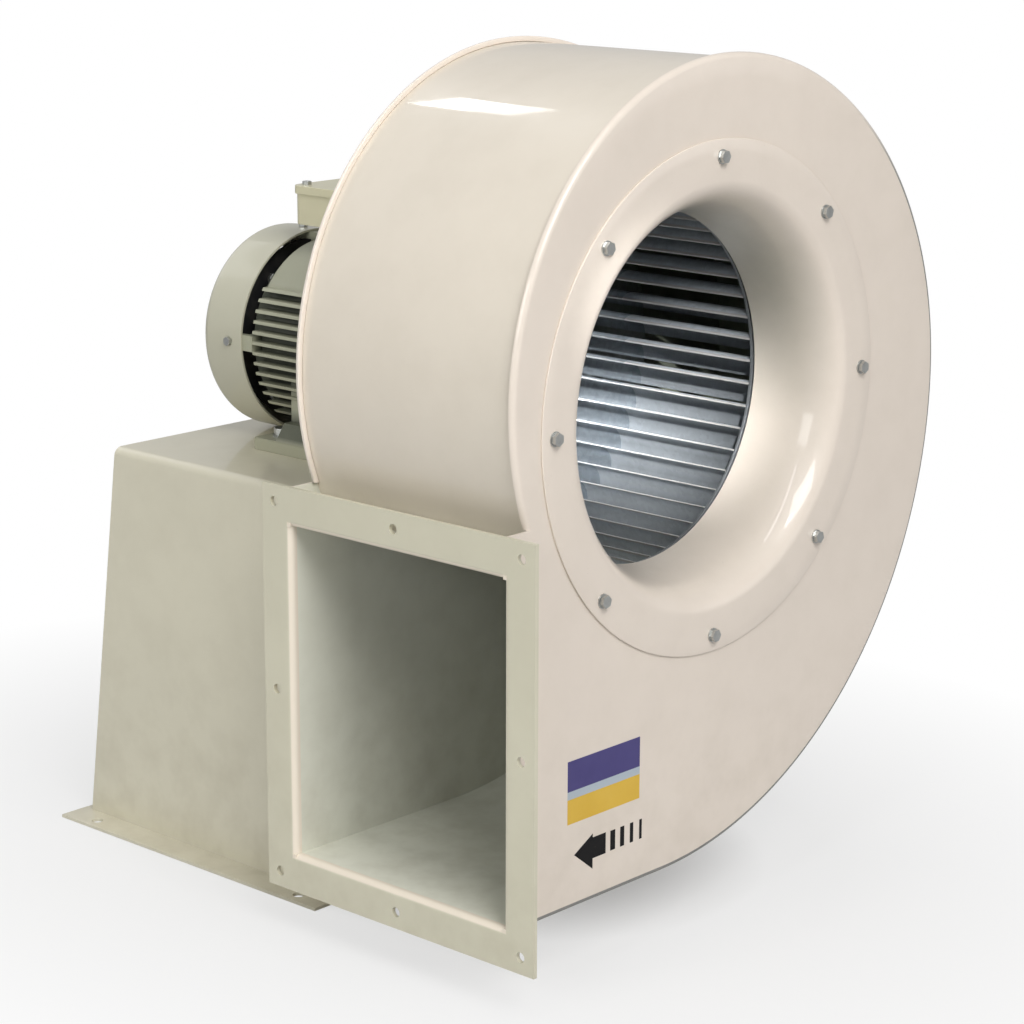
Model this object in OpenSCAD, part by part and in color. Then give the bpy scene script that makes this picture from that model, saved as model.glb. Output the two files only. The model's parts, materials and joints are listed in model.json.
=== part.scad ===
// Single-inlet centrifugal blower: a sheet-steel scroll casing on a motor pedestal,
// with a forward-curved wheel keyed straight onto the shaft of a foot-mounted motor.
// Sizes are in millimetres. Inside the modules the shaft lies along Y through the
// point [0, 0, 0], which is the centre of the front plate's inner face. X is across
// the blower, the outlet faces -X, the inlet faces -Y and Z is up. at_shaft() puts
// that point in its place above the middle of the blower's footprint.

/* [Casing] */
// Inner width of the casing, between the side plates
casing_w = 250; // [220:1:290]
// Thickness of the casing sheet
sheet_t = 2; // [1.5:0.5:2.5]
// Room between the wheel and the scroll on the outlet side
gap_left = 61; // [52:1:70]
// Room between the wheel and the scroll at the top
gap_top = 99; // [90:1:108]
// Room between the wheel and the scroll on the side away from the outlet
gap_right = 133; // [124:1:144]
// Room between the wheel and the scroll's floor
gap_bottom = 217; // [208:1:228]
// How much tighter the first arc is than the mean of its two gaps
arc_shift = 6; // [2:1:9]
// Height of the folded seam that stands proud of the scroll
hem_h = 5; // [3:0.5:7]
// Width of the folded seam, along the shaft
hem_depth = 6; // [4:0.5:9]

/* [Outlet] */
// Inner height of the outlet
outlet_h = 300; // [285:1:312]
// How far the outlet's face stands beyond the scroll
outlet_lead = 16; // [12:1:24]
// Width of the outlet flange's strip
flange_w = 35; // [30:1:42]
// Thickness of the outlet flange
flange_t = 4; // [3:0.5:5]
// Bend radius at the outlet's mouth
flange_bend_r = 6; // [5:0.5:7]
// Diameter of the flange holes
flange_hole_d = 9; // [7:0.5:11]
// Flange holes to the flange's outer edge
flange_hole_inset = 15; // [12:0.5:17]
// Radius of the nose of the cut-off
nose_r = 10; // [8:0.5:13]
// Gap between the wheel and the nose of the cut-off
nose_gap = 24; // [18:1:28]

/* [Inlet] */
// Diameter of the inlet's throat
inlet_d = 315; // [300:1:325]
// How far the bell mouth widens, on the radius
bell_flare = 32; // [26:1:36]
// Depth of the bell mouth
bell_depth = 76; // [66:1:84]
// Straight lip at the end of the bell mouth
bell_lip = 6; // [4:0.5:10]
// Flat land of the inlet ring, on the radius
ring_land = 35.5; // [32:0.5:40]
// Inlet screws to the ring's outer edge
screw_inset = 15; // [12:0.5:18]
// Number of inlet screws
inlet_screws_n = 8; // [6:1:12]

/* [Wheel] */
// Number of blades
blade_n = 48; // [36:1:54]
// Depth of the blades, on the radius
blade_depth = 30; // [26:1:34]
// Thickness of a blade
blade_t = 1.2; // [1:0.1:1.6]
// Radius of a blade's curve
blade_curve_r = 21; // [19.5:0.5:26]
// How far a blade's tip leads its root, in degrees
blade_lead = 5.5; // [4.5:0.5:7]
// Radial room between the throat and the blades
eye_gap = 2.5; // [2:0.5:4]
// Gap between the bell's lip and the wheel's front ring
wheel_front_gap = 4; // [3:0.5:7]
// Gap between the wheel's disc and the back plate
wheel_back_gap = 11; // [9.5:0.5:14]
// Thickness of the wheel's disc and front ring
wheel_sheet_t = 3; // [2:0.5:4]
// Radius of the hub's barrel
hub_r = 32; // [28:0.5:36]
// Radius of the hub's flange
hub_flange_r = 62; // [58:1:70]
// Thickness of the hub's flange
hub_flange_t = 8; // [6:0.5:11]
// Number of hub rivets
hub_rivets_n = 6; // [5:1:8]

/* [Motor] */
// Height of the shaft above the feet
shaft_height = 100; // [98:1:104]
// Diameter of the shaft end
shaft_d = 28; // [26:1:29]
// Length of the shaft end
shaft_ext = 60; // [57:1:66]
// Gap between the back plate and the motor
motor_gap = 4; // [3.5:0.5:8]
// Length of the drive-end shield
front_shield_len = 36; // [36:1:42]
// Length of the finned frame
frame_len = 190; // [180:1:204]
// Length of the rear shield
rear_shield_len = 18; // [17:0.5:20]
// Radius of the frame's barrel
frame_r = 84; // [82:0.5:87]
// Radius that the fins reach
fin_r = 97; // [95:0.5:98]
// Thickness of a fin
fin_t = 3; // [2.5:0.5:4]
// Distance from fin to fin
fin_pitch = 10; // [9:0.5:12]
// Radius of the stator's plates
stator_r = 76; // [74:0.5:78]
// Radius of the rotor's plates
rotor_r = 47.4; // [45:0.2:47.6]
// Length of the stator's plates
stator_len = 120; // [104:1:130]
// Radius of the fan cowl
cowl_r = 99.5; // [99:0.5:101]
// Length of the fan cowl
cowl_len = 58; // [56:1:66]
// Distance between the foot holes, across the motor
foot_a = 160; // [156:1:164]
// Distance between the foot holes, along the motor
foot_b = 140; // [134:1:146]
// Shaft shoulder to the first foot holes
foot_c = 63; // [60:1:66]

/* [Terminal box] */
// Width of the terminal box
box_w = 104; // [90:1:114]
// Length of the terminal box
box_l = 104; // [90:1:110]
// Height of the terminal box without its lid
box_h = 29; // [28:1:40]
// Thickness of the lid
lid_t = 8; // [6:0.5:10]

/* [Pedestal] */
// Height of the pedestal
pedestal_h = 383; // [374:1:420]
// Width of the pedestal
pedestal_w = 375; // [350:1:400]
// Length of the pedestal's top
pedestal_len = 328; // [310:1:350]
// How far the end panel leans out at the floor
pedestal_lean = 54; // [40:1:66]
// Thickness of the pedestal's sheet
pedestal_t = 3; // [2.5:0.5:4]
// Outer bend radius of the pedestal's edges
pedestal_bend_r = 8; // [5:0.5:12]
// Width of the foot lips
lip_w = 30; // [26:1:36]
// Diameter of the floor bolt holes
base_hole_d = 11; // [9:0.5:14]

/* [Hidden] */
$fn = 96;

// Clearances and overrun
cut = 20;
fit_gap = 0.2;
seat_gap = 0.02;
run_gap = 0.05;
air_gap = 0.6;

// Wheel and scroll: radii, and distances from the shaft to the scroll's inner face
inlet_r = inlet_d / 2;
eye_r = inlet_r + eye_gap;
wheel_r = eye_r + blade_depth;
reach_left = wheel_r + gap_left;
reach_top = wheel_r + gap_top;
reach_right = wheel_r + gap_right;
reach_bottom = wheel_r + gap_bottom;

// The scroll is three arcs that meet square to each other: up the outlet side, over
// the top and down the far side to the floor
arc_a_r = (reach_left + reach_top) / 2 - arc_shift;
arc_a = [arc_a_r - reach_left, reach_top - arc_a_r];
arc_b_r = reach_right - arc_a[0];
arc_b = [arc_a[0], reach_top - arc_b_r];
arc_c_r = reach_bottom + arc_b[1];
arc_c = [reach_right - arc_c_r, arc_b[1]];

// Outlet: its face, its ceiling and its floor, and the flange's outer edges
outlet_x = -reach_left - outlet_lead;
duct_low = -reach_bottom;
duct_high = duct_low + outlet_h;
flange_back_x = outlet_x + flange_t;
flange_leg_x = outlet_x + flange_bend_r + sheet_t;
plate_edge = sheet_t + hem_h;
flange_hole_r = flange_hole_d / 2;
hole_row_y = casing_w / 2 + flange_w - flange_hole_inset;
hole_row_z = outlet_h / 2 + flange_w - flange_hole_inset;

// Cut-off: the nose's centre, and where its upper leg ends at the scroll
nose_z = duct_high + nose_r;
nose_reach = wheel_r + nose_gap + nose_r;
nose_x = -sqrt(nose_reach * nose_reach - nose_z * nose_z);
nose_steps = 16;
nose_end_drop = nose_z + nose_r - sheet_t - arc_a[1];
nose_end_x = arc_a[0] - sqrt(arc_a_r * arc_a_r - nose_end_drop * nose_end_drop) + fit_gap;

// Inlet ring and bell, along the shaft
ring_face_y = -2 * sheet_t;
bell_end_y = ring_face_y + bell_depth;
throat_end_y = bell_end_y + bell_lip;
bell_r = inlet_r + bell_flare;
ring_r = bell_r + ring_land;
inlet_screw_ring_r = ring_r - screw_inset;
plate_hole_r = bell_r + 5 * fit_gap;
bell_steps = 16;

// Common fasteners: shank radius, hexagon across flats and head height
m5 = [2.5, 8, 3.5];
m6 = [3, 10, 4];
m8 = [4, 13, 5.3];
m10 = [5, 16, 6.4];
m8_nut_h = 6.5;
m10_nut_h = 8;
m10_washer = [10, 2];
head_flange_share = 0.3;
hex_corners = 1.1547;

// Wheel along the shaft, and the blade's circle from its root and tip
back_plate_y = casing_w;
wheel_front_y = throat_end_y + wheel_front_gap;
blade_front_y = wheel_front_y + wheel_sheet_t;
disc_back_y = back_plate_y - wheel_back_gap;
disc_front_y = disc_back_y - wheel_sheet_t;
blade_root = [eye_r, 0];
blade_tip = wheel_r * [cos(blade_lead), -sin(blade_lead)];
blade_chord = norm(blade_tip - blade_root);
blade_slope = atan2(blade_tip[1] - blade_root[1], blade_tip[0] - blade_root[0]);
blade_rise = sqrt(blade_curve_r * blade_curve_r - blade_chord * blade_chord / 4);

// Motor along the shaft, from its shoulder
shoulder_y = casing_w + sheet_t + motor_gap;
shaft_end_y = shoulder_y - shaft_ext;
shaft_r = shaft_d / 2;
frame_front_y = shoulder_y + front_shield_len;
frame_back_y = frame_front_y + frame_len;
rear_shield_y = frame_back_y + rear_shield_len;
stator_front_y = (frame_front_y + frame_back_y - stator_len) / 2;
stator_back_y = stator_front_y + stator_len;

// Bearings: bore and outer radius, width, ball radius, count and race heights
bearing_bore_r = 15;
bearing_outer_r = 31;
bearing_w = 16;
ball_r = 4.75;
ball_n = 9;
ball_ring_r = (bearing_bore_r + bearing_outer_r) / 2;
race_land = 5.5;
bearing_lip = 1;
front_bearing_in = 12;
front_bearing_y = shoulder_y + front_bearing_in;
front_bearing_mid = front_bearing_y + bearing_w / 2;
rear_bearing_y = frame_back_y + bearing_lip;
rear_bearing_mid = rear_bearing_y + bearing_w / 2;

// Hub, key, end bolt and its washer
hub_front_proud = 2;
hub_front_y = shaft_end_y - hub_front_proud;
hub_tail = 7;
hub_back_y = disc_back_y + hub_tail;
hub_flange_y = disc_front_y - hub_flange_t;
rivet_r = 4;
rivet_head_r = 7;
rivet_head_h = 4;
rivet_ring_r = (hub_r + hub_flange_r) / 2;
key_w = 8;
key_h = 7;
key_len = 32;
key_sink = 4;
key_y = shaft_end_y + hub_tail;
key_top = shaft_r - key_sink + key_h;
grub_r = 4;
grub_len = 11;
grub_socket_af = 4;
grub_y = key_y + 2 * grub_r;
end_washer_r = 20;
end_washer_t = 4;
end_bolt_len = 24;

// Shaft seal plate behind the back plate's hole
seal_hole_room = 13;
seal_overlap = 20;
seal_hole_r = hub_r + seal_hole_room;
seal_plate_r = seal_hole_r + seal_overlap;
seal_screw_ring_r = seal_hole_r + seal_overlap / 2;
seal_screws_n = 4;
seal_plate_t = 1.5;
seal_head_h = 1.8;
seal_head_r = 5;

// Shaft steps and rotor
core_shaft_r = 18;
fan_shaft_r = 12;
fan_shaft_len = 34;
shaft_tail_y = rear_bearing_y + bearing_w + fan_shaft_len;
winding_len = 25;
winding_in_room = 3;
winding_out_room = 5;
winding_in_r = rotor_r + winding_in_room;
winding_out_r = stator_r - winding_out_room;
end_ring_len = 8;
end_ring_in_r = 28;
end_ring_step = 2;
end_ring_out_r = rotor_r - end_ring_step;

// Shields: wall, rim and bearing boss
shield_wall = 7;
rim_t = 12;
rim_r = 92;
rim_in_r = 70;
boss_r = bearing_outer_r + shield_wall;
seal_r = 22;
seal_len = 7;
seal_in = 2;
seal_y = shoulder_y + seal_in;
shaft_room = 1;
shield_screw_ring_r = (frame_r + stator_r) / 2;
shield_screw_len = 16;
shield_screws_n = 4;
lug_w = 15;
lug_in_r = 90;
lug_len = 20;

// Cooling fan and cowl
fan_room = 8;
fan_y = rear_shield_y + fan_room;
fan_r = 88;
fan_disc_t = 3;
fan_len = 20;
fan_hub_r = 20;
fan_vane_t = 3;
fan_vanes_n = 8;
retainer_t = 1.2;
retainer_r = 16;
cowl_t = 2;
cowl_overlap = 5;
cowl_front_y = rear_shield_y - cowl_overlap;
cowl_back_y = cowl_front_y + cowl_len;
cowl_corner_r = 12;
grille_rings_n = 5;
grille_slot = 6;
grille_bar = 7;
grille_hub_r = 18;
grille_spokes_n = 6;
cowl_screw_in = 12;
cowl_screw_y = rear_shield_y + cowl_screw_in;
cowl_screw_turns = [-90, 0, 90];
cowl_screw_len = 9;

// Frame: fins up to its smooth shoulders, the neck under the terminal box, foot bosses
fin_low = -70;
fin_high = 53;
shoulder_r = 92;
neck_half_w = 30;
neck_half_l = 38;
neck_top = 112;
boss_in_x = 56;
boss_out_x = 80;
boss_low = -72;
lead_hole_r = 12;

// Feet
foot_edge = 101;
foot_in_x = 45;
foot_pad_t = 12;
foot_end = 18;
foot_web_end = 12;
foot_web_top_x = 90;
foot_hole_r = 6;
foot_y = shoulder_y + foot_c;
foot_web_front_y = foot_y + foot_web_end;
foot_web_back_y = foot_y + foot_b - foot_web_end;

// Terminal box
box_wall = 4;
box_from_shoulder = 161;
box_mid_y = shoulder_y + box_from_shoulder;
box_corner_r = 8;
lid_proud = 2;
lid_screw_inset = 9;
board_w = 56;
board_l = 44;
board_t = 8;
board_lift = 4;
stud_r = 2.5;
stud_h = 10;
stud_step = 17;
stud_rows = 27;
gland_r = 10;
gland_bore_r = 6;
gland_hex = 24;
gland_hex_t = 6;
gland_cap_r = 11;
gland_cap_len = 14;

// Pedestal
pedestal_y = casing_w + sheet_t;
pedestal_half = pedestal_w / 2;
pedestal_top = -shaft_height;
floor_z = pedestal_top - pedestal_h;
lip_front = 27;
lip_past_end = 10;
pedestal_back_y = pedestal_y + pedestal_len + pedestal_lean + lip_past_end;
base_hole_share = 0.58;
base_hole_front = 35;
base_hole_back = 40;
base_hole_x = pedestal_half + lip_w * base_hole_share;
base_hole_front_y = pedestal_y + lip_front + base_hole_front;
base_hole_back_y = pedestal_back_y - base_hole_back;
pedestal_bolt_inset = 37.5;
pedestal_bolt_x = pedestal_half - pedestal_bolt_inset;
pedestal_bolt_drop = 35;
pedestal_bolt_z = pedestal_top - pedestal_bolt_drop;

// Where the shaft stands over the middle of the footprint
scroll_right = reach_right + plate_edge;
shaft_x = -(scroll_right + outlet_x) / 2;
inlet_y = -(pedestal_back_y - flange_w) / 2;
shaft_z = -floor_z;

module at_shaft() {
    translate([shaft_x, inlet_y, shaft_z]) children();
}

// A drawing in X and Z, as seen from the inlet, made solid from y0 to y1
module slab(y0, y1) {
    rotate([90, 0, 0]) translate([0, 0, -y1]) linear_extrude(y1 - y0) children();
}

// A drawing in Y and Z made solid from x0 to x1
module side_slab(x0, x1) {
    translate([x0, 0, 0]) rotate([90, 0, 90]) linear_extrude(x1 - x0) children();
}

// A drawing in radius and Y turned round the shaft
module turned() {
    rotate([-90, 0, 0]) rotate_extrude() children();
}

module rod(r, y0, y1) {
    translate([0, y0, 0]) rotate([-90, 0, 0]) cylinder(r = r, h = y1 - y0);
}

module tube(r_in, r_out, y0, y1) {
    difference() {
        rod(r_out, y0, y1);
        rod(r_in, y0 - cut, y1 + cut);
    }
}

// A rectangle from two opposite corners
module area(x0, z0, x1, z1) {
    translate([x0, z0]) square([x1 - x0, z1 - z0]);
}

// A hexagonal prism along Y with width af across its flats
module hex_rod(af, y0, y1) {
    translate([0, y0, 0]) rotate([-90, 0, 0]) cylinder(d = af * hex_corners, h = y1 - y0, $fn = 6);
}

// Copies round the shaft, the first one at the top
module round_shaft(n, r, first = 0) {
    for (i = [0:n - 1]) rotate([0, first + i * 360 / n, 0]) translate([0, 0, r]) children();
}

// Copies at the cowl's screws: left, top and right, because the pedestal is below
module at_cowl_screws(y, z) {
    for (turn = cowl_screw_turns) rotate([0, turn, 0]) translate([0, y, z]) children();
}

// A hexagon-headed screw with a flange under its head: seat at y = 0, shank along +Y
module flanged_screw(size, length) {
    flange_h = size[2] * head_flange_share;
    union() {
        rod(size[1] * hex_corners / 2 + flange_h / 2, -flange_h, 0);
        hex_rod(size[1], -size[2] - flange_h, -flange_h);
        rod(size[0], -flange_h / 2, length);
    }
}

// A plain hexagon bolt: seat at y = 0, shank along +Y
module hex_bolt(size, length) {
    union() {
        hex_rod(size[1], -size[2], 0);
        rod(size[0], -size[2] / 2, length);
    }
}

module hex_nut(size, height) {
    difference() {
        hex_rod(size[1], 0, height);
        rod(size[0] + run_gap, -cut, height + cut);
    }
}

// The scroll's inside, grown by off, from x_left to the far side
module scroll_2d(off, x_left) {
    union() {
        intersection() {
            translate(arc_a) circle(arc_a_r + off, $fn = 360);
            area(-reach_left - cut, duct_high, arc_a[0], reach_top + cut);
        }
        intersection() {
            translate(arc_b) circle(arc_b_r + off, $fn = 360);
            area(arc_b[0], arc_b[1], reach_right + cut, reach_top + cut);
        }
        intersection() {
            translate(arc_c) circle(arc_c_r + off, $fn = 360);
            area(arc_c[0], duct_low - cut, reach_right + cut, arc_c[1]);
        }
        area(x_left, duct_low - off, arc_c[0], duct_high + off);
    }
}

// A side plate's outline, with room for the flange's leg
module side_plate_2d() {
    difference() {
        union() {
            scroll_2d(plate_edge, flange_back_x);
            area(flange_back_x, duct_high, -wheel_r, duct_high + flange_w);
        }
        area(outlet_x, duct_low - sheet_t, flange_leg_x, duct_high + sheet_t);
    }
}

// The folded seam round a side plate, over the scroll's edge
module hem_2d() {
    difference() {
        scroll_2d(plate_edge, flange_back_x);
        scroll_2d(sheet_t + fit_gap, outlet_x);
    }
}

module front_side_plate() {
    color([0.87, 0.82, 0.77]) at_shaft() difference() {
        union() {
            slab(-sheet_t, 0) side_plate_2d();
            slab(-sheet_t, hem_depth - sheet_t) hem_2d();
        }
        rod(plate_hole_r, -cut, cut);
        round_shaft(inlet_screws_n, inlet_screw_ring_r) rod(m6[0] + run_gap, -cut, cut);
    }
}

module back_side_plate() {
    color([0.85, 0.81, 0.75]) at_shaft() difference() {
        union() {
            slab(casing_w, casing_w + sheet_t) side_plate_2d();
            slab(casing_w + sheet_t - hem_depth, casing_w + sheet_t) hem_2d();
        }
        rod(seal_hole_r, casing_w - cut, casing_w + cut);
        round_shaft(seal_screws_n, seal_screw_ring_r, 45)
            rod(m5[0] + run_gap, casing_w - cut, casing_w + cut);
        for (x = [-pedestal_bolt_x, 0, pedestal_bolt_x])
            translate([x, 0, pedestal_bolt_z]) rod(m8[0] + run_gap, casing_w - cut, casing_w + cut);
    }
}

// The scroll's long strip, from the cut-off over the top and down to the floor
module scroll_wrapper() {
    color([0.85, 0.81, 0.74]) at_shaft() slab(0, casing_w) difference() {
        scroll_2d(sheet_t, flange_leg_x);
        scroll_2d(0, outlet_x - cut);
        area(outlet_x - cut, duct_high - cut, nose_x, duct_high + sheet_t);
    }
}

// Points round the cut-off's nose, from its underside to its top
function nose_arc(r) = [
    for (i = [0:nose_steps])
        let (a = 180 * i / nose_steps - 90)
        [nose_x + r * cos(a), nose_z + r * sin(a)]
];

// The outlet's ceiling, folded round a nose beside the wheel and back to the scroll
module cutoff_plate() {
    inner = nose_arc(nose_r - sheet_t);
    backwards = [for (i = [nose_steps:-1:0]) inner[i]];
    color([0.8, 0.76, 0.7]) at_shaft() slab(0, casing_w) polygon(concat(
        [[flange_leg_x, duct_high]], nose_arc(nose_r),
        [[nose_end_x, nose_z + nose_r], [nose_end_x, nose_z + nose_r - sheet_t]], backwards,
        [[flange_leg_x, duct_high + sheet_t]]
    ));
}

// What the bend at the mouth leaves out: a square corner less a round
module mouth_round_2d() {
    difference() {
        area(-cut, -cut, flange_bend_r, flange_bend_r);
        translate([flange_bend_r, flange_bend_r]) circle(flange_bend_r);
    }
}

module outlet_flange() {
    mid_y = casing_w / 2;
    mid_z = (duct_low + duct_high) / 2;
    color([0.8, 0.77, 0.7]) at_shaft() difference() {
        union() {
            side_slab(outlet_x, flange_back_x)
                area(-flange_w, duct_low - flange_w, casing_w + flange_w, duct_high + flange_w);
            side_slab(outlet_x, flange_leg_x)
                area(-sheet_t, duct_low - sheet_t, casing_w + sheet_t, duct_high + sheet_t);
        }
        side_slab(outlet_x - cut, flange_leg_x + cut) area(0, duct_low, casing_w, duct_high);
        for (side = [0, 1]) {
            translate([outlet_x, mid_y, duct_low]) mirror([0, side, 0])
                translate([0, casing_w / 2, 0]) linear_extrude(outlet_h) mouth_round_2d();
            translate([outlet_x, 0, mid_z]) mirror([0, 0, side])
                translate([0, 0, outlet_h / 2]) slab(0, casing_w) mouth_round_2d();
        }
        translate([outlet_x, mid_y, mid_z]) for (j = [-1, 0, 1], k = [-1, 0, 1])
            if (j != 0 || k != 0) translate([-cut, j * hole_row_y, k * hole_row_z])
                rotate([0, 90, 0]) cylinder(r = flange_hole_r, h = 2 * cut);
    }
}

// Points of the bell mouth, a quarter ellipse from the throat out to the ring, moved
// out square to itself by off
function bell_curve(off) = [
    for (i = [0:bell_steps])
        let (
            a = 90 * i / bell_steps,
            square_to = [bell_depth * cos(a), bell_flare * sin(a)]
        )
        [inlet_r + bell_flare * (1 - cos(a)), bell_end_y - bell_depth * sin(a)]
            + off * square_to / norm(square_to)
];

module inlet_bell() {
    inner = bell_curve(0);
    outer = bell_curve(sheet_t);
    backwards = [for (i = [bell_steps:-1:0]) outer[i]];
    color([0.87, 0.82, 0.77]) at_shaft() difference() {
        turned() polygon(concat(
            [[inlet_r, throat_end_y]], inner,
            [[ring_r, ring_face_y], [ring_r, ring_face_y + sheet_t]], backwards,
            [[inlet_r + sheet_t, throat_end_y]]
        ));
        round_shaft(inlet_screws_n, inlet_screw_ring_r) rod(m6[0] + run_gap, -cut, cut);
    }
}

module inlet_screws() {
    color([0.75, 0.76, 0.75]) at_shaft() round_shaft(inlet_screws_n, inlet_screw_ring_r)
        translate([0, ring_face_y, 0]) flanged_screw(m6, 3 * sheet_t + m6[2]);
}

module shaft_seal_plate() {
    plate_y = casing_w + sheet_t;
    color([0.6, 0.62, 0.63]) at_shaft() difference() {
        rod(seal_plate_r, plate_y, plate_y + seal_plate_t);
        rod(shaft_r + shaft_room, plate_y - cut, plate_y + cut);
        round_shaft(seal_screws_n, seal_screw_ring_r, 45)
            rod(m5[0] + run_gap, plate_y - cut, plate_y + cut);
    }
}

module seal_plate_screws() {
    plate_y = casing_w + sheet_t;
    color([0.75, 0.76, 0.75]) at_shaft() round_shaft(seal_screws_n, seal_screw_ring_r, 45) union() {
        rod(m5[0], casing_w - sheet_t, plate_y + seal_plate_t);
        rod(seal_head_r, plate_y + seal_plate_t, plate_y + seal_plate_t + seal_head_h);
    }
}

module wheel_back_disc() {
    color([0.55, 0.58, 0.6]) at_shaft() difference() {
        rod(wheel_r, disc_front_y, disc_back_y);
        rod(hub_r + seat_gap, disc_front_y - cut, disc_back_y + cut);
        round_shaft(hub_rivets_n, rivet_ring_r)
            rod(rivet_r + seat_gap, disc_front_y - cut, disc_back_y + cut);
    }
}

// A blade's section: a strip along an arc from its root to its tip, which leads
module blade_2d() {
    intersection() {
        difference() {
            circle(wheel_r, $fn = 720);
            circle(eye_r, $fn = 720);
        }
        translate(blade_root) rotate(blade_slope) intersection() {
            translate([blade_chord / 2, -blade_rise]) difference() {
                circle(blade_curve_r + blade_t / 2, $fn = 360);
                circle(blade_curve_r - blade_t / 2, $fn = 360);
            }
            area(-2 * blade_t, -2 * blade_t, blade_chord + 2 * blade_t, blade_curve_r);
        }
    }
}

module wheel_blades() {
    color([0.5, 0.54, 0.57]) at_shaft() for (i = [0:blade_n - 1])
        rotate([0, i * 360 / blade_n, 0]) slab(blade_front_y, disc_front_y) blade_2d();
}

module wheel_front_ring() {
    color([0.55, 0.58, 0.6]) at_shaft() tube(eye_r, wheel_r, wheel_front_y, blade_front_y);
}

module wheel_hub() {
    color([0.45, 0.46, 0.47]) at_shaft() difference() {
        union() {
            rod(hub_r, hub_front_y, hub_back_y);
            rod(hub_flange_r, hub_flange_y, disc_front_y);
        }
        rod(shaft_r + seat_gap, hub_front_y - cut, hub_back_y + cut);
        translate([-key_w / 2 - seat_gap, hub_front_y - cut, 0])
            cube([key_w + 2 * seat_gap, hub_back_y - hub_front_y + 2 * cut, key_top + seat_gap]);
        translate([0, grub_y, 0]) cylinder(r = grub_r + run_gap, h = hub_r + cut);
        round_shaft(hub_rivets_n, rivet_ring_r)
            rod(rivet_r + seat_gap, hub_flange_y - cut, disc_front_y + cut);
    }
}

module hub_rivets() {
    color([0.7, 0.71, 0.72]) at_shaft() round_shaft(hub_rivets_n, rivet_ring_r) union() {
        rod(rivet_r, hub_flange_y - rivet_head_h / 2, disc_back_y + rivet_head_h / 2);
        rod(rivet_head_r, hub_flange_y - rivet_head_h, hub_flange_y);
        rod(rivet_head_r, disc_back_y, disc_back_y + rivet_head_h);
    }
}

module hub_key() {
    color([0.6, 0.6, 0.58]) at_shaft() translate([-key_w / 2, key_y, shaft_r - key_sink])
        cube([key_w, key_len, key_h]);
}

module hub_grub_screw() {
    low = key_top + run_gap;
    color([0.25, 0.25, 0.27]) at_shaft() translate([0, grub_y, low]) difference() {
        cylinder(r = grub_r, h = grub_len);
        translate([0, 0, grub_len / 2])
            cylinder(d = grub_socket_af * hex_corners, h = cut, $fn = 6);
    }
}

module shaft_end_washer() {
    color([0.7, 0.71, 0.72]) at_shaft()
        tube(m10[0] + run_gap, end_washer_r, hub_front_y - end_washer_t, hub_front_y);
}

module shaft_end_bolt() {
    color([0.6, 0.6, 0.62]) at_shaft() translate([0, hub_front_y - end_washer_t, 0])
        hex_bolt(m10, end_washer_t + hub_front_proud + end_bolt_len);
}

module motor_shaft() {
    front_step_y = front_bearing_y + bearing_w;
    color([0.72, 0.73, 0.75]) at_shaft() difference() {
        union() {
            rod(shaft_r, shaft_end_y, front_bearing_y);
            rod(bearing_bore_r, shoulder_y, front_step_y + bearing_w);
            rod(core_shaft_r, front_step_y, rear_bearing_y);
            rod(bearing_bore_r, rear_bearing_y - bearing_w, rear_bearing_y + bearing_w);
            rod(fan_shaft_r, rear_bearing_y, shaft_tail_y);
        }
        rod(m10[0] + run_gap, shaft_end_y - cut, hub_front_y + hub_front_proud + end_bolt_len + hub_tail);
        translate([-key_w / 2 - seat_gap, key_y - seat_gap, shaft_r - key_sink - seat_gap])
            cube([key_w + 2 * seat_gap, key_len + 2 * seat_gap, cut]);
    }
}

module rotor_core() {
    color([0.5, 0.5, 0.52]) at_shaft()
        tube(core_shaft_r + seat_gap, rotor_r, stator_front_y, stator_back_y);
}

module rotor_end_rings() {
    color([0.75, 0.76, 0.77]) at_shaft() {
        tube(end_ring_in_r, end_ring_out_r, stator_front_y - end_ring_len, stator_front_y);
        tube(end_ring_in_r, end_ring_out_r, stator_back_y, stator_back_y + end_ring_len);
    }
}

module stator_core() {
    color([0.45, 0.46, 0.48]) at_shaft()
        tube(rotor_r + air_gap, stator_r - seat_gap, stator_front_y, stator_back_y);
}

module stator_windings() {
    color([0.6, 0.3, 0.15]) at_shaft() {
        tube(winding_in_r, winding_out_r, stator_front_y - winding_len, stator_front_y);
        tube(winding_in_r, winding_out_r, stator_back_y, stator_back_y + winding_len);
    }
}

// The frame's section: barrel, level fins at both sides and smooth shoulders
module frame_2d() {
    fins_n = floor((fin_high - fin_low) / fin_pitch);
    union() {
        circle(frame_r);
        intersection() {
            circle(fin_r);
            for (i = [0:fins_n])
                area(-fin_r, fin_low + i * fin_pitch, fin_r, fin_low + i * fin_pitch + fin_t);
        }
        intersection() {
            circle(shoulder_r);
            area(-fin_r, fin_high, fin_r, shoulder_r);
        }
    }
}

module motor_frame() {
    color([0.74, 0.73, 0.65]) at_shaft() difference() {
        union() {
            slab(frame_front_y, frame_back_y) frame_2d();
            slab(box_mid_y - neck_half_l, box_mid_y + neck_half_l)
                area(-neck_half_w, 0, neck_half_w, neck_top);
            slab(foot_web_front_y, foot_web_back_y) for (x = [-boss_out_x, boss_in_x])
                area(x, boss_low, x + boss_out_x - boss_in_x, 0);
        }
        rod(stator_r, frame_front_y - cut, frame_back_y + cut);
        translate([0, box_mid_y, 0]) cylinder(r = lead_hole_r, h = neck_top + cut);
        round_shaft(shield_screws_n, shield_screw_ring_r, 45)
            rod(m6[0] + run_gap, frame_front_y - cut, frame_back_y + cut);
    }
}

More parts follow.
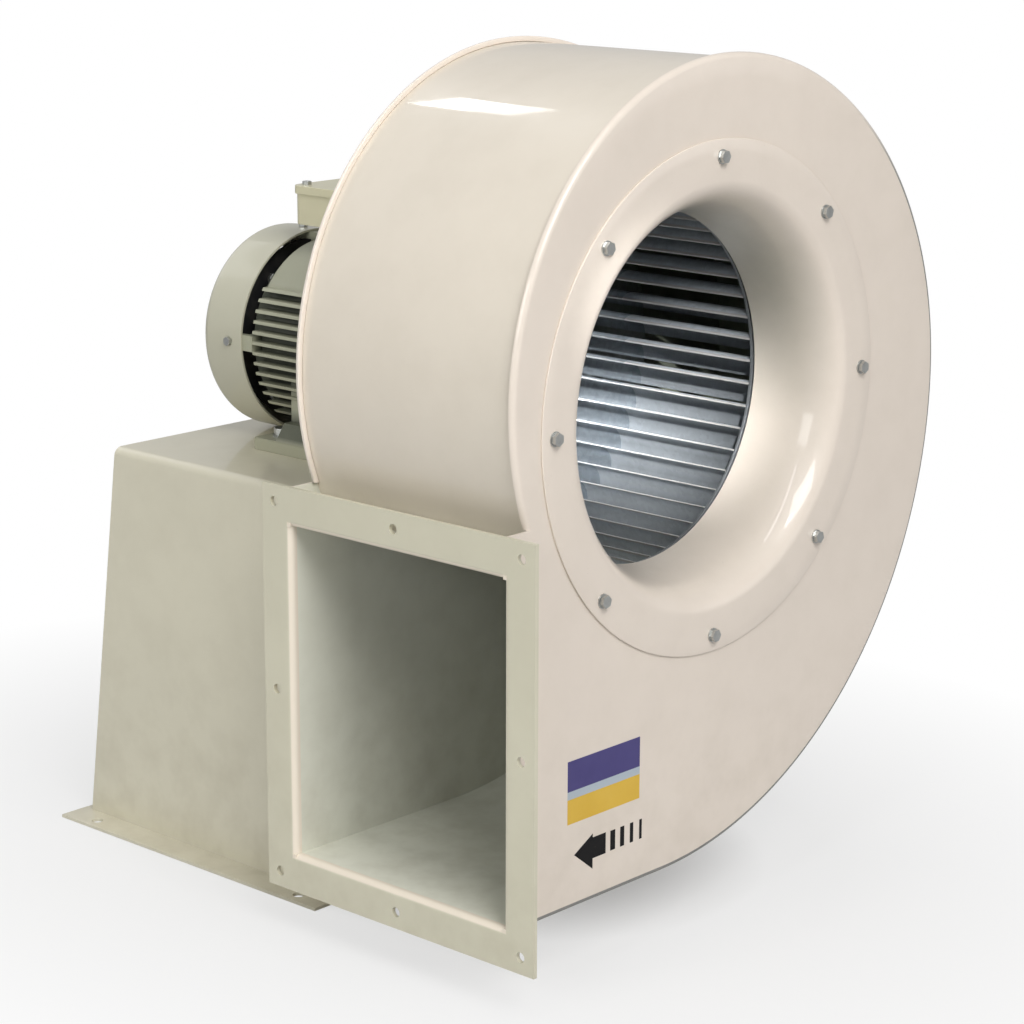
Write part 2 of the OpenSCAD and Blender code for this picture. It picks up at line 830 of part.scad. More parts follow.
module drive_end_shield() {
    rim_y = frame_front_y - rim_t;
    seat_back_y = front_bearing_y + bearing_w;
    color([0.74, 0.73, 0.65]) at_shaft() difference() {
        turned() polygon([
            [shaft_r, shoulder_y], [boss_r, shoulder_y], [rim_in_r, rim_y], [rim_r, rim_y],
            [rim_r, frame_front_y], [rim_in_r, frame_front_y],
            [boss_r + shield_wall, rim_y + shield_wall],
            [boss_r, seat_back_y + bearing_lip], [shaft_r, seat_back_y + bearing_lip]
        ]);
        rod(bearing_bore_r + shaft_room, shoulder_y - cut, seat_back_y + cut);
        rod(seal_r, seal_y - cut, seal_y + seal_len + run_gap);
        rod(bearing_outer_r + seat_gap, front_bearing_y, seat_back_y + cut);
        round_shaft(shield_screws_n, shield_screw_ring_r, 45)
            rod(m6[0] + run_gap, rim_y - cut, frame_front_y + cut);
    }
}

module rear_end_shield() {
    rim_back_y = rear_shield_y - 2 * shield_wall;
    color([0.7, 0.69, 0.62]) at_shaft() difference() {
        union() {
            rod(frame_r, frame_back_y, rear_shield_y - shield_wall);
            rod(boss_r, frame_back_y, rear_shield_y);
            at_cowl_screws(0, 0) intersection() {
                union() {
                    slab(frame_back_y, rear_shield_y - shield_wall)
                        area(-lug_w / 2, rim_in_r, lug_w / 2, cowl_r);
                    slab(frame_back_y, rear_shield_y + lug_len)
                        area(-lug_w / 2, lug_in_r, lug_w / 2, cowl_r);
                }
                rod(cowl_r - cowl_t - fit_gap, frame_back_y, rear_shield_y + lug_len);
            }
        }
        rod(core_shaft_r + shaft_room, frame_back_y - cut, rear_shield_y + cut);
        rod(bearing_outer_r + seat_gap, frame_back_y - cut, rear_bearing_y + bearing_w);
        tube(boss_r + shield_wall, rim_in_r, frame_back_y - cut, rim_back_y);
        round_shaft(shield_screws_n, shield_screw_ring_r, 45)
            rod(m6[0] + run_gap, frame_back_y - cut, rear_shield_y + cut);
        at_cowl_screws(cowl_screw_y, 0) cylinder(r = m5[0] + run_gap, h = cowl_r + cut);
    }
}

module shield_screws() {
    color([0.6, 0.6, 0.6]) at_shaft() {
        round_shaft(shield_screws_n, shield_screw_ring_r, 45)
            translate([0, frame_front_y - rim_t, 0]) hex_bolt(m6, rim_t + shield_screw_len);
        round_shaft(shield_screws_n, shield_screw_ring_r, 45)
            translate([0, rear_shield_y - shield_wall, 0]) mirror([0, 1, 0])
            hex_bolt(m6, rear_shield_len - shield_wall + shield_screw_len);
    }
}

// A bearing's outer or inner ring, with the balls' groove cut in it
module race(r_in, r_out, mid_y) {
    difference() {
        tube(r_in, r_out, mid_y - bearing_w / 2, mid_y + bearing_w / 2);
        translate([0, mid_y, 0]) turned() translate([ball_ring_r, 0]) circle(ball_r + run_gap, $fn = 48);
    }
}

module bearing_outer_rings() {
    color([0.7, 0.72, 0.74]) at_shaft() for (mid_y = [front_bearing_mid, rear_bearing_mid])
        race(bearing_outer_r - race_land, bearing_outer_r, mid_y);
}

module bearing_inner_rings() {
    color([0.7, 0.72, 0.74]) at_shaft() for (mid_y = [front_bearing_mid, rear_bearing_mid])
        race(bearing_bore_r + seat_gap, bearing_bore_r + race_land, mid_y);
}

module bearing_balls() {
    color([0.8, 0.81, 0.83]) at_shaft() for (mid_y = [front_bearing_mid, rear_bearing_mid])
        round_shaft(ball_n, ball_ring_r) translate([0, mid_y, 0]) sphere(ball_r, $fn = 32);
}

module shaft_lip_seal() {
    color([0.12, 0.12, 0.12]) at_shaft()
        tube(bearing_bore_r + run_gap, seal_r - seat_gap, seal_y, seal_y + seal_len);
}

module cooling_fan() {
    color([0.15, 0.15, 0.16]) at_shaft() difference() {
        union() {
            rod(fan_hub_r, fan_y, fan_y + fan_len);
            rod(fan_r, fan_y, fan_y + fan_disc_t);
            round_shaft(fan_vanes_n, 0) slab(fan_y, fan_y + fan_len)
                area(-fan_vane_t / 2, 0, fan_vane_t / 2, fan_r - fan_vane_t);
        }
        rod(fan_shaft_r + seat_gap, fan_y - cut, fan_y + fan_len + cut);
    }
}

module fan_retaining_ring() {
    ring_y = fan_y + fan_len + run_gap;
    color([0.3, 0.3, 0.32]) at_shaft() difference() {
        tube(fan_shaft_r + seat_gap, retainer_r, ring_y, ring_y + retainer_t);
        translate([-fan_vane_t / 2, ring_y - cut, 0]) cube([fan_vane_t, 2 * cut, cut]);
    }
}

// The cowl's section in radius and Y: a straight skirt, a round corner and an end
module cowl_2d(r, back_y, corner) {
    union() {
        area(0, cowl_front_y, r, back_y - corner);
        area(0, cowl_front_y, r - corner, back_y);
        translate([r - corner, back_y - corner]) intersection() {
            circle(corner);
            square(corner);
        }
    }
}

module fan_cowl() {
    color([0.78, 0.75, 0.68]) at_shaft() difference() {
        turned() difference() {
            cowl_2d(cowl_r, cowl_back_y, cowl_corner_r);
            translate([0, -cut]) area(0, cowl_front_y, cowl_r - cowl_t, cowl_front_y + 2 * cut);
            cowl_2d(cowl_r - cowl_t, cowl_back_y - cowl_t, cowl_corner_r - cowl_t);
        }
        // Ring slots in the end, with spokes left between them
        difference() {
            for (i = [0:grille_rings_n - 1]) {
                slot_r = grille_hub_r + i * (grille_slot + grille_bar);
                tube(slot_r, slot_r + grille_slot, cowl_back_y - cut, cowl_back_y + cut);
            }
            round_shaft(grille_spokes_n, 0) slab(cowl_front_y, cowl_back_y + 2 * cut)
                area(-grille_bar / 2, 0, grille_bar / 2, cowl_r);
        }
        at_cowl_screws(cowl_screw_y, 0) cylinder(r = m5[0] + run_gap, h = cowl_r + cut);
    }
}

module cowl_screws() {
    color([0.6, 0.6, 0.6]) at_shaft() at_cowl_screws(cowl_screw_y, cowl_r + fit_gap)
        rotate([-90, 0, 0]) hex_bolt(m5, cowl_screw_len);
}

// Feet: a flat pad with two holes under a web that meets the frame's boss
module motor_feet() {
    pad_low = -shaft_height;
    pad_high = pad_low + foot_pad_t;
    back_y = foot_y + foot_b;
    color([0.7, 0.69, 0.61]) at_shaft() for (side = [0, 1]) mirror([side, 0, 0]) difference() {
        union() {
            slab(foot_y - foot_end, back_y + foot_end) area(foot_in_x, pad_low, foot_edge, pad_high);
            slab(foot_web_front_y, foot_web_back_y) polygon([
                [boss_in_x, pad_low], [foot_edge, pad_low], [foot_edge, pad_high],
                [foot_web_top_x, boss_low], [boss_in_x, boss_low]
            ]);
        }
        for (y = [foot_y, back_y]) translate([foot_a / 2, y, pad_low - cut])
            cylinder(r = foot_hole_r, h = 2 * cut);
    }
}

module at_foot_holes(z) {
    for (x = [-foot_a / 2, foot_a / 2], y = [foot_y, foot_y + foot_b]) translate([x, y, z]) children();
}

module motor_foot_bolts() {
    grip = foot_pad_t + pedestal_t + m10_washer[1];
    color([0.7, 0.7, 0.68]) at_shaft() at_foot_holes(foot_pad_t - shaft_height + m10_washer[1])
        rotate([-90, 0, 0]) hex_bolt(m10, grip + m10_washer[1] + m10_nut_h + 2 * sheet_t);
}

module motor_foot_washers() {
    color([0.75, 0.75, 0.74]) at_shaft()
        for (z = [foot_pad_t - shaft_height, -shaft_height - pedestal_t - m10_washer[1]])
            at_foot_holes(z) difference() {
                cylinder(r = m10_washer[0], h = m10_washer[1]);
                translate([0, 0, -cut]) cylinder(r = m10[0] + run_gap, h = 2 * cut);
            }
}

module motor_foot_nuts() {
    color([0.7, 0.7, 0.68]) at_shaft()
        at_foot_holes(-shaft_height - pedestal_t - m10_washer[1]) rotate([-90, 0, 0]) hex_nut(m10, m10_nut_h);
}

// A plan view of a box with round corners
module round_box_2d(w, l, r) {
    union() {
        square([w - 2 * r, l], center = true);
        square([w, l - 2 * r], center = true);
        for (x = [-1, 1], y = [-1, 1]) translate([x * (w / 2 - r), y * (l / 2 - r)]) circle(r);
    }
}

module at_lid_screws(z) {
    for (x = [-1, 1], y = [-1, 1])
        translate([x * (box_w / 2 - lid_screw_inset), box_mid_y + y * (box_l / 2 - lid_screw_inset), z])
            children();
}

module terminal_box() {
    inner_w = box_w - 2 * box_wall;
    inner_l = box_l - 2 * box_wall;
    color([0.75, 0.73, 0.62]) at_shaft() difference() {
        translate([0, box_mid_y, neck_top]) difference() {
            linear_extrude(box_h) round_box_2d(box_w, box_l, box_corner_r);
            translate([0, 0, box_wall]) linear_extrude(box_h) difference() {
                round_box_2d(inner_w, inner_l, box_corner_r - box_wall);
                for (x = [-1, 1], y = [-1, 1])
                    translate([x * (box_w / 2 - lid_screw_inset), y * (box_l / 2 - lid_screw_inset)])
                        circle(lid_screw_inset - box_wall / 2);
            }
            translate([0, 0, -cut]) cylinder(r = lead_hole_r, h = 2 * cut);
            translate([0, 0, box_h / 2]) rotate([0, 90, 0]) cylinder(r = gland_r, h = box_w);
        }
        at_lid_screws(neck_top + box_wall) cylinder(r = m5[0] + run_gap, h = box_h);
    }
}

module terminal_box_lid() {
    low = neck_top + box_h;
    color([0.76, 0.74, 0.63]) at_shaft() difference() {
        translate([0, box_mid_y, low]) linear_extrude(lid_t)
            round_box_2d(box_w + 2 * lid_proud, box_l + 2 * lid_proud, box_corner_r + lid_proud);
        at_lid_screws(low - cut) cylinder(r = m5[0] + run_gap, h = lid_t + 2 * cut);
    }
}

module lid_screws() {
    color([0.6, 0.6, 0.6]) at_shaft() at_lid_screws(neck_top + box_h + lid_t)
        rotate([-90, 0, 0]) hex_bolt(m5, lid_t + box_h / 2);
}

module terminal_board() {
    color([0.3, 0.12, 0.08]) at_shaft() translate([0, box_mid_y, neck_top + box_wall]) difference() {
        union() {
            translate([-board_w / 2, -board_l / 2, board_lift]) cube([board_w, board_l, board_t]);
            for (x = [-1, 1]) translate([x * (board_w / 2 - board_t / 2) - board_t / 2, -board_l / 2, 0])
                cube([board_t, board_l, board_lift + board_t / 2]);
        }
        for (x = [-1, 0, 1], y = [-1, 1]) translate([x * stud_step, y * stud_rows / 2, 0])
            cylinder(r = stud_r + run_gap, h = box_h);
    }
}

module terminal_studs() {
    low = neck_top + box_wall + board_lift - board_t / 4;
    color([0.75, 0.6, 0.3]) at_shaft() translate([0, box_mid_y, low])
        for (x = [-1, 0, 1], y = [-1, 1]) translate([x * stud_step, y * stud_rows / 2, 0]) union() {
            cylinder(r = stud_r, h = board_t / 4 + board_t + stud_h);
            translate([0, 0, board_t / 4 + board_t]) cylinder(d = m5[1] * hex_corners, h = 2 * stud_r, $fn = 6);
        }
}

module cable_gland() {
    color([0.2, 0.2, 0.2]) at_shaft()
        translate([box_w / 2, box_mid_y, neck_top + box_h / 2]) rotate([0, 90, 0]) difference() {
            union() {
                translate([0, 0, -2 * box_wall]) cylinder(r = gland_r - run_gap, h = 3 * box_wall);
                cylinder(d = gland_hex * hex_corners, h = gland_hex_t, $fn = 6);
                cylinder(r = gland_cap_r, h = gland_hex_t + gland_cap_len);
            }
            translate([0, 0, -cut]) cylinder(r = gland_bore_r, h = 3 * cut);
        }
}

// The pedestal's section: a top and two sides bent from one sheet
module pedestal_2d(inset, low) {
    half = pedestal_half - inset;
    top = pedestal_top - inset;
    r = pedestal_bend_r - inset;
    union() {
        area(-half, low, half, top - r);
        area(-half + r, low, half - r, top);
        for (side = [-1, 1]) translate([side * (half - r), top - r]) circle(r);
    }
}

// Everything beyond the leaning end, in Y and Z
module beyond_end_2d(inset) {
    top_y = pedestal_y + pedestal_len - inset;
    lean_share = pedestal_lean / pedestal_h;
    polygon([
        [top_y - cut * lean_share, pedestal_top + cut],
        [top_y + pedestal_lean + cut * lean_share, floor_z - cut],
        [pedestal_back_y + cut + pedestal_len, floor_z - cut],
        [pedestal_back_y + cut + pedestal_len, pedestal_top + cut]
    ]);
}

module pedestal_shell() {
    color([0.78, 0.76, 0.68]) at_shaft() difference() {
        union() {
            difference() {
                slab(pedestal_y, pedestal_back_y) difference() {
                    pedestal_2d(0, floor_z);
                    pedestal_2d(pedestal_t, floor_z - cut);
                }
                side_slab(-pedestal_w, pedestal_w) beyond_end_2d(0);
            }
            slab(pedestal_y + lip_front, pedestal_back_y) for (side = [0, 1]) mirror([side, 0])
                area(pedestal_half - pedestal_t, floor_z, pedestal_half + lip_w, floor_z + pedestal_t);
        }
        at_foot_holes(pedestal_top - cut) cylinder(r = m10[0] + 2 * fit_gap, h = 2 * cut);
        for (x = [-base_hole_x, base_hole_x], y = [base_hole_front_y, base_hole_back_y])
            translate([x, y, floor_z - cut]) cylinder(d = base_hole_d, h = 2 * cut);
    }
}

module pedestal_end_panel() {
    half = pedestal_half - pedestal_t - fit_gap;
    color([0.77, 0.75, 0.67]) at_shaft() union() {
        intersection() {
            side_slab(-half, half) difference() {
                beyond_end_2d(pedestal_t);
                beyond_end_2d(0);
            }
            slab(pedestal_y, pedestal_back_y) pedestal_2d(pedestal_t + fit_gap, floor_z);
        }
        intersection() {
            slab(pedestal_y + pedestal_len, pedestal_back_y)
                area(-half, floor_z, half, floor_z + pedestal_t);
            side_slab(-half, half) beyond_end_2d(pedestal_t);
        }
    }
}

module pedestal_front_panel() {
    half = pedestal_half - pedestal_t - fit_gap;
    color([0.77, 0.75, 0.67]) at_shaft() difference() {
        slab(pedestal_y, pedestal_y + pedestal_t) intersection() {
            pedestal_2d(pedestal_t + fit_gap, floor_z);
            area(-half, floor_z, half, pedestal_top);
        }
        for (x = [-pedestal_bolt_x, 0, pedestal_bolt_x]) translate([x, 0, pedestal_bolt_z])
            rod(m8[0] + run_gap, pedestal_y - cut, pedestal_y + cut);
    }
}

module pedestal_bolts() {
    color([0.72, 0.72, 0.7]) at_shaft() for (x = [-pedestal_bolt_x, 0, pedestal_bolt_x])
        translate([x, casing_w, pedestal_bolt_z])
        hex_bolt(m8, sheet_t + pedestal_t + m8_nut_h + 2 * sheet_t);
}

module pedestal_nuts() {
    color([0.72, 0.72, 0.7]) at_shaft() for (x = [-pedestal_bolt_x, 0, pedestal_bolt_x])
        translate([x, pedestal_y + pedestal_t, pedestal_bolt_z]) hex_nut(m8, m8_nut_h);
}

front_side_plate();
back_side_plate();
scroll_wrapper();
cutoff_plate();
outlet_flange();
inlet_bell();
inlet_screws();
shaft_seal_plate();
seal_plate_screws();
wheel_back_disc();
wheel_blades();
wheel_front_ring();
wheel_hub();
hub_rivets();
hub_key();
hub_grub_screw();
shaft_end_washer();
shaft_end_bolt();
motor_shaft();
rotor_core();
rotor_end_rings();
stator_core();
stator_windings();
motor_frame();
drive_end_shield();
rear_end_shield();
shield_screws();
bearing_outer_rings();
bearing_inner_rings();
bearing_balls();
shaft_lip_seal();
cooling_fan();
fan_retaining_ring();
fan_cowl();
cowl_screws();
motor_feet();
motor_foot_bolts();
motor_foot_washers();
motor_foot_nuts();
terminal_box();
terminal_box_lid();
lid_screws();
terminal_board();
terminal_studs();
cable_gland();
pedestal_shell();
pedestal_end_panel();
pedestal_front_panel();
pedestal_bolts();
pedestal_nuts();
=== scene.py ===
# %% [markdown]
# # An industrial centrifugal blower
# A sheet-steel scroll casing, a bell-mouthed inlet, a forward-curved wheel on a motor's
# shaft and a folded pedestal. The exact model gives every piece its place and size. This
# lesson gives the pieces their surfaces: folded edges, enamel, zinc and castings.

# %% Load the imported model
import json
import math
import bmesh
import bpy
import numpy as np
from mathutils import Matrix, Vector


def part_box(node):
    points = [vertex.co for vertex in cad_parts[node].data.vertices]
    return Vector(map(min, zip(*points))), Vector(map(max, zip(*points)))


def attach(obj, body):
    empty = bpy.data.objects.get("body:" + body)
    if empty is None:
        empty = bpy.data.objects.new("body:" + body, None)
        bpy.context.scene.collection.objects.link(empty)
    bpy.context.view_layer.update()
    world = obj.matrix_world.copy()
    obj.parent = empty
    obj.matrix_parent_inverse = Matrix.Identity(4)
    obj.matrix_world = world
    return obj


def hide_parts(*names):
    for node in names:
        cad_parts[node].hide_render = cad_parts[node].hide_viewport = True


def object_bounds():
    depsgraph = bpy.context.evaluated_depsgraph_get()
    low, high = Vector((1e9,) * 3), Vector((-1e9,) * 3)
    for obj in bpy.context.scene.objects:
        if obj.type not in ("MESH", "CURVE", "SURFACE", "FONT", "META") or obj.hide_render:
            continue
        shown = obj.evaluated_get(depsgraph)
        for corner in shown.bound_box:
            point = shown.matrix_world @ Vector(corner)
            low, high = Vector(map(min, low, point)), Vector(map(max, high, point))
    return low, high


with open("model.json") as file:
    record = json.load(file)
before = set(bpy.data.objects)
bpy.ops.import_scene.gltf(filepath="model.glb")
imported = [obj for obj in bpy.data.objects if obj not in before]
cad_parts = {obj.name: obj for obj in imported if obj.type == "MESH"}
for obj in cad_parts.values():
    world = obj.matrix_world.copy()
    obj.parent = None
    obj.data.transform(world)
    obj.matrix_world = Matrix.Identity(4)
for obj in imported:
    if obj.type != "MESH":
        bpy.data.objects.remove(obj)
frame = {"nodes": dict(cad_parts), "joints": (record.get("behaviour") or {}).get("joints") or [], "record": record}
nodes = frame["nodes"]
cad_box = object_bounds()
print("nodes", len(nodes), "box", [round(v, 4) for v in (*cad_box[0], *cad_box[1])])

# %% [markdown]
# ## Where things are
# The blower is easiest to describe from its own shaft: X across, Y from the inlet to the
# motor, Z up, in millimetres, with zero on the shaft at the front plate's inner face.
# One function takes such points to metres in the model's frame, so that every new piece
# lands where the exact one was.

# %% The shaft's own frame
shaft = Vector(frame["joints"][0]["pos_m"])
front_face_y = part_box("scroll_wrapper")[0].y
casing_w = (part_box("scroll_wrapper")[1].y - front_face_y) * 1000


def in_place(x, y, z):
    """Points in millimetres from the shaft, as arrays of one shape, to metres in the
    model's frame: each is divided by 1000 and added to the shaft's own place."""
    x, y, z = np.broadcast_arrays(x, y, z)
    return np.stack([x / 1000 + shaft.x, y / 1000 + front_face_y, z / 1000 + shaft.z], -1)


print("shaft at", [round(v, 4) for v in shaft], "casing", round(casing_w, 2), "mm wide")

# %% [markdown]
# ## The camera
# The photograph's view was solved once from the inlet's screw circle and the flange's
# corners: a long lens, a little above the outlet's top, looking between the inlet and the
# outlet. A camera looks along its own -Z, so its matrix has the view direction reversed
# in its third column.

# %% Camera at the photograph's angle
look = Vector((0.715158, 0.656016, -0.241228))
right = Vector((0.676427, -0.736506, 0.002456))
up = right.cross(look).normalized()
camera_data = bpy.data.cameras.new("view")
camera_data.sensor_width, camera_data.lens = 36.0, 99.16
camera_data.clip_start, camera_data.clip_end = 0.1, 60.0
camera = bpy.data.objects.new("view", camera_data)
camera.matrix_world = Matrix.Translation((-1.904469, -1.787103, 0.975304)) @ Matrix(
    (right, up, -look)).transposed().to_4x4()
bpy.context.scene.collection.objects.link(camera)
bpy.context.scene.camera = camera
print("camera", [round(v, 3) for v in camera.location], camera_data.lens, "mm")

# %% [markdown]
# ## Shader sums in plain Python
# Procedural finishes are sums of noises and masks. Wiring Math nodes by hand hides the
# sum, so one small class wraps a socket and lets + - * and > add those nodes. Colours
# must not go through Math nodes, which would turn them grey: they are blended by Mix.


# %% A socket that can be used in sums
class Wire:
    """A shader socket. Adding to it, taking from it, multiplying or comparing it adds a
    Math node."""

    def __init__(self, tree, socket=None):
        self.tree, self.socket = tree, socket

    def node(self, kind, settings=(), out=0, **inputs):
        """Any other node: its type, settings to make first, the output wanted, and a value
        or Wire for each input, by its name or by its number after an underscore."""
        made = self.tree.nodes.new(kind)
        for key, value in dict(settings).items():
            if key == "stops":
                ramp = made.color_ramp
                while len(ramp.elements) < len(value):
                    ramp.elements.new(1.0)
                for element, (spot, shade) in zip(ramp.elements, value):
                    element.position, element.color = spot, shade
            else:
                setattr(made, key, value)
        for key, value in inputs.items():
            number = key[1:].isdigit()
            target = made.inputs[int(key[1:]) if number else key.replace("_", " ")]
            if isinstance(value, Wire):
                self.tree.links.new(value.socket, target)
            else:
                target.default_value = value
        return Wire(self.tree, made.outputs[out])

    def math(self, operation, *others):
        """A Math node of this operation on this value and, where it takes more, the others."""
        return self.node("ShaderNodeMath", {"operation": operation},
                         **{f"_{i}": v for i, v in enumerate((self, *others))})

    def blend(self, colour_a, colour_b):
        """Colour a where this is 0 and colour b where it is 1."""
        return self.node("ShaderNodeMix", {"data_type": "RGBA", "clamp_factor": True}, out=2,
                         _0=self, _6=colour_a, _7=colour_b)

    def ramp(self, low, high):
        """0 below low, 1 above high, straight between."""
        return self.node("ShaderNodeMapRange", {"clamp": True}, Value=self,
                         From_Min=low, From_Max=high)

    def noise(self, scale, detail=3.0, rough=0.5, seed=0.0):
        """Noise on this vector, about 0 to 1, with scale waves to the metre."""
        return self.node("ShaderNodeTexNoise", {"noise_dimensions": "4D"}, Vector=self,
                         W=seed, Scale=scale, Detail=detail, Roughness=rough)

    def stretched(self, x, y, z):
        """This vector, each axis multiplied, to draw a pattern out along one of them."""
        return self.node("ShaderNodeMapping", Vector=self, Scale=(x, y, z))

    def __add__(self, other):
        return self.math("ADD", other)

    def __sub__(self, other):
        return self.math("SUBTRACT", other)

    def __rsub__(self, other):
        return self.node("ShaderNodeMath", {"operation": "SUBTRACT"}, _0=other, _1=self)

    def __mul__(self, other):
        return self.math("MULTIPLY", other)

    def __gt__(self, other):
        return self.math("GREATER_THAN", other)

    __radd__, __rmul__ = __add__, __mul__


def rgb(red, green, blue):
    """A screen colour from 0 to 255 as the linear light that a shader wants."""
    values = np.array([red, green, blue]) / 255
    linear = np.where(values <= 0.04045, values / 12.92, ((values + 0.055) / 1.055) ** 2.4)
    return (*[float(v) for v in linear], 1.0)


def shaded(colour, factor):
    """A colour made lighter or darker by a factor."""
    return (*[min(1.0, v * factor) for v in colour[:3]], 1.0)


def finish(name, build, **constants):
    """A material: build gets the Object coordinates and returns the wires of its shader."""
    material = bpy.data.materials.new(name)
    material.use_nodes = True
    tree = material.node_tree
    tree.nodes.clear()
    coordinates = Wire(tree).node("ShaderNodeTexCoord", out=3)
    wires = build(coordinates)
    height, depth = wires.pop("height", None), wires.pop("depth", 0.0002)
    if height is not None:
        wires["Normal"] = coordinates.node("ShaderNodeBump", Strength=1.0, Distance=depth,
                                           Height=height)
    keys = {k.replace(" ", "_"): v for k, v in {**wires, **constants}.items()}
    shader = coordinates.node("ShaderNodeBsdfPrincipled", **keys)
    output = tree.nodes.new("ShaderNodeOutputMaterial")
    tree.links.new(shader.socket, output.inputs["Surface"])
    return material


print("shader helpers ready")

# %% [markdown]
# ## Cream enamel
# The casing, pedestal and motor are sprayed with one glossy stoving enamel. Up close it
# has a fine orange peel, a few dust nibs, faint cloudiness where the spray overlapped,
# hair scratches that show only in reflections, and grime that settles low down. Each is
# a noise with its own real scale. The gloss comes from a clear coat over a softer base.
# Painted shade and painted light are blended in at places, each a function of its own.


# %% Enamel for sheet metal and for castings
def shaft_distance(where):
    """Distance of a point from the shaft's axis, in metres."""
    from_shaft = where.node("ShaderNodeVectorMath", {"operation": "SUBTRACT"},
                            _0=where, _1=(shaft.x, 0.0, shaft.z))
    flat = from_shaft.stretched(1.0, 0.0, 1.0)
    return flat.node("ShaderNodeVectorMath", {"operation": "LENGTH"}, out=1, _0=flat)


def above_shaft(where):
    """Height of a point over the shaft's axis, in metres."""
    return where.node("ShaderNodeSeparateXYZ", out=2, Vector=where) - shaft.z


def along_shaft(where):
    """Distance of a point behind the front plate's inner face, in metres."""
    return where.node("ShaderNodeSeparateXYZ", out=1, Vector=where) - front_face_y


def across(where):
    """Distance of a point from the shaft towards +X, in metres: the outlet is at -X."""
    return where.node("ShaderNodeSeparateXYZ", out=0, Vector=where) - shaft.x


def enamel(name, colour, peel=1.0, grime=1.0, coat=0.55, rough=0.34, wave=1.0, shade=None,
           shade_colour=(60, 64, 56)):
    """Sprayed enamel: cloudy colour, nibs, low grime, scratches in the gloss and orange peel.
    Where shade(where) is 1 the colour turns to shade_colour as painted shade, and as painted
    light where that colour is lighter; the paint is rougher there too."""

    def build(where):
        cloud = where.noise(5.0, 4.0, 0.55, 1.0)
        patch = where.noise(26.0, 3.0, 0.6, 2.0)
        nibs = where.noise(620.0, 1.0, 0.5, 3.0).ramp(0.74, 0.80)
        scratch = where.stretched(1.0, 0.12, 1.0).noise(190.0, 2.0, 0.7, 4.0).ramp(0.70, 0.76)
        height = where.node("ShaderNodeSeparateXYZ", out=2, Vector=where)
        low = 1.0 - height.ramp(0.0, 0.24)
        dust = (low * 0.55 + 0.20) * patch.ramp(0.42, 0.78) * grime
        tone = cloud.ramp(0.30, 0.70).blend(shaded(colour, 0.965), shaded(colour, 1.03))
        tone = (dust * 0.30).blend(tone, rgb(150, 138, 112))
        tone = (nibs * 0.16).blend(tone, rgb(120, 112, 96))
        if shade:
            # Painted shade, and painted light where shade_colour is lighter
            painted_tone = shade(where)
            tone = (painted_tone * (patch * 0.25 + 0.80)).blend(tone, rgb(*shade_colour))
            dust = dust + painted_tone * 0.6
        peel_height = where.noise(330.0, 2.0, 0.5, 5.0) * (0.30 * peel)
        sag = where.noise(13.0, 2.0, 0.45, 6.0) * (3.4 * wave)
        return {
            "Base Color": tone,
            "Roughness": rough + patch * 0.07 + scratch * 0.10 + dust * 0.22,
            "height": peel_height + sag + nibs * 0.25,
            "depth": 0.00016,
        }

    return finish(name, build, Coat_Weight=coat, Coat_Roughness=0.05, Coat_IOR=1.5,
                  Specular_IOR_Level=0.5)


def away_from_mouth(where):
    """Painted shade inside the casing: light just past the mouth, heavy behind the wheel."""
    film, deep = across(where).ramp(-0.262, -0.190), across(where).ramp(0.0, 0.12)
    return film * 0.30 + deep * 0.62


def throat_shade(where):
    """Painted shade in the bell's throat, strongest at the throat and heavier over the shaft."""
    deep = 1.0 - shaft_distance(where).ramp(0.159, 0.180)
    return deep * (above_shaft(where).ramp(-0.05, 0.08) * 0.40 + 0.12)


def rim_underside(where):
    """Painted shade on the folded rim's right and lower stretches."""
    return (across(where) - above_shaft(where)).ramp(-0.04, 0.10)


def by_the_mouth(where):
    """Painted light on the rounded lip of the flange, within 4 mm of the opening."""
    half_width, half_height, middle_height = casing_w / 2000, 0.150, -0.257
    side = (along_shaft(where) - half_width).math("ABSOLUTE") - half_width
    level = (above_shaft(where) - middle_height).math("ABSOLUTE") - half_height
    return 1.0 - side.math("MAXIMUM", level).ramp(0.0032, 0.0045)


def fin_roots(where):
    """Painted shade at the bottoms of the grooves between the fins and on the frame's underside."""
    roots = 1.0 - shaft_distance(where).ramp(0.0850, 0.0935)
    return roots.math("MAXIMUM", 1.0 - above_shaft(where).ramp(-0.074, -0.060))


def foot_webs(where):
    """Painted shade on the feet's webs over their pads, under the frame."""
    return above_shaft(where).ramp(-0.090, -0.084)


def inside_cowl(where):
    """Painted shade on the cowl's inside: within its skin and ahead of its grille."""
    within = 1.0 - shaft_distance(where).ramp(0.0972, 0.0978)
    return within * (1.0 - along_shaft(where).ramp(0.5400, 0.5412))


front_enamel = enamel("cream_enamel_front", rgb(229, 218, 206))
# The back plate's lighter copy of the cream enamel is painted light
back_enamel = enamel("cream_enamel_back", rgb(242, 231, 219))
# The bell carries painted shade in its throat
bell_enamel = enamel("cream_enamel_bell", rgb(229, 218, 206), shade_colour=(124, 136, 122),
                     shade=throat_shade)
# The front plate's fold carries painted shade on its right and lower stretches
rim_enamel = enamel("cream_enamel_rim", rgb(229, 218, 206), shade=rim_underside,
                    shade_colour=(118, 120, 117))
casing_enamel = enamel("cream_enamel_casing", rgb(224, 215, 201))
# The inside's pale base is painted light by the mouth, and its darkening deeper in painted shade
inside_enamel = enamel("cream_enamel_inside", rgb(232, 232, 218), coat=0.3, grime=1.4,
                       shade=away_from_mouth, shade_colour=(70, 80, 66))
# The flange's darker, greener tone is painted shade, and its lip by the opening painted light
flange_enamel = enamel("cream_enamel_flange", rgb(211, 207, 186), peel=1.6, wave=0.4,
                       shade=by_the_mouth, shade_colour=(238, 227, 211))
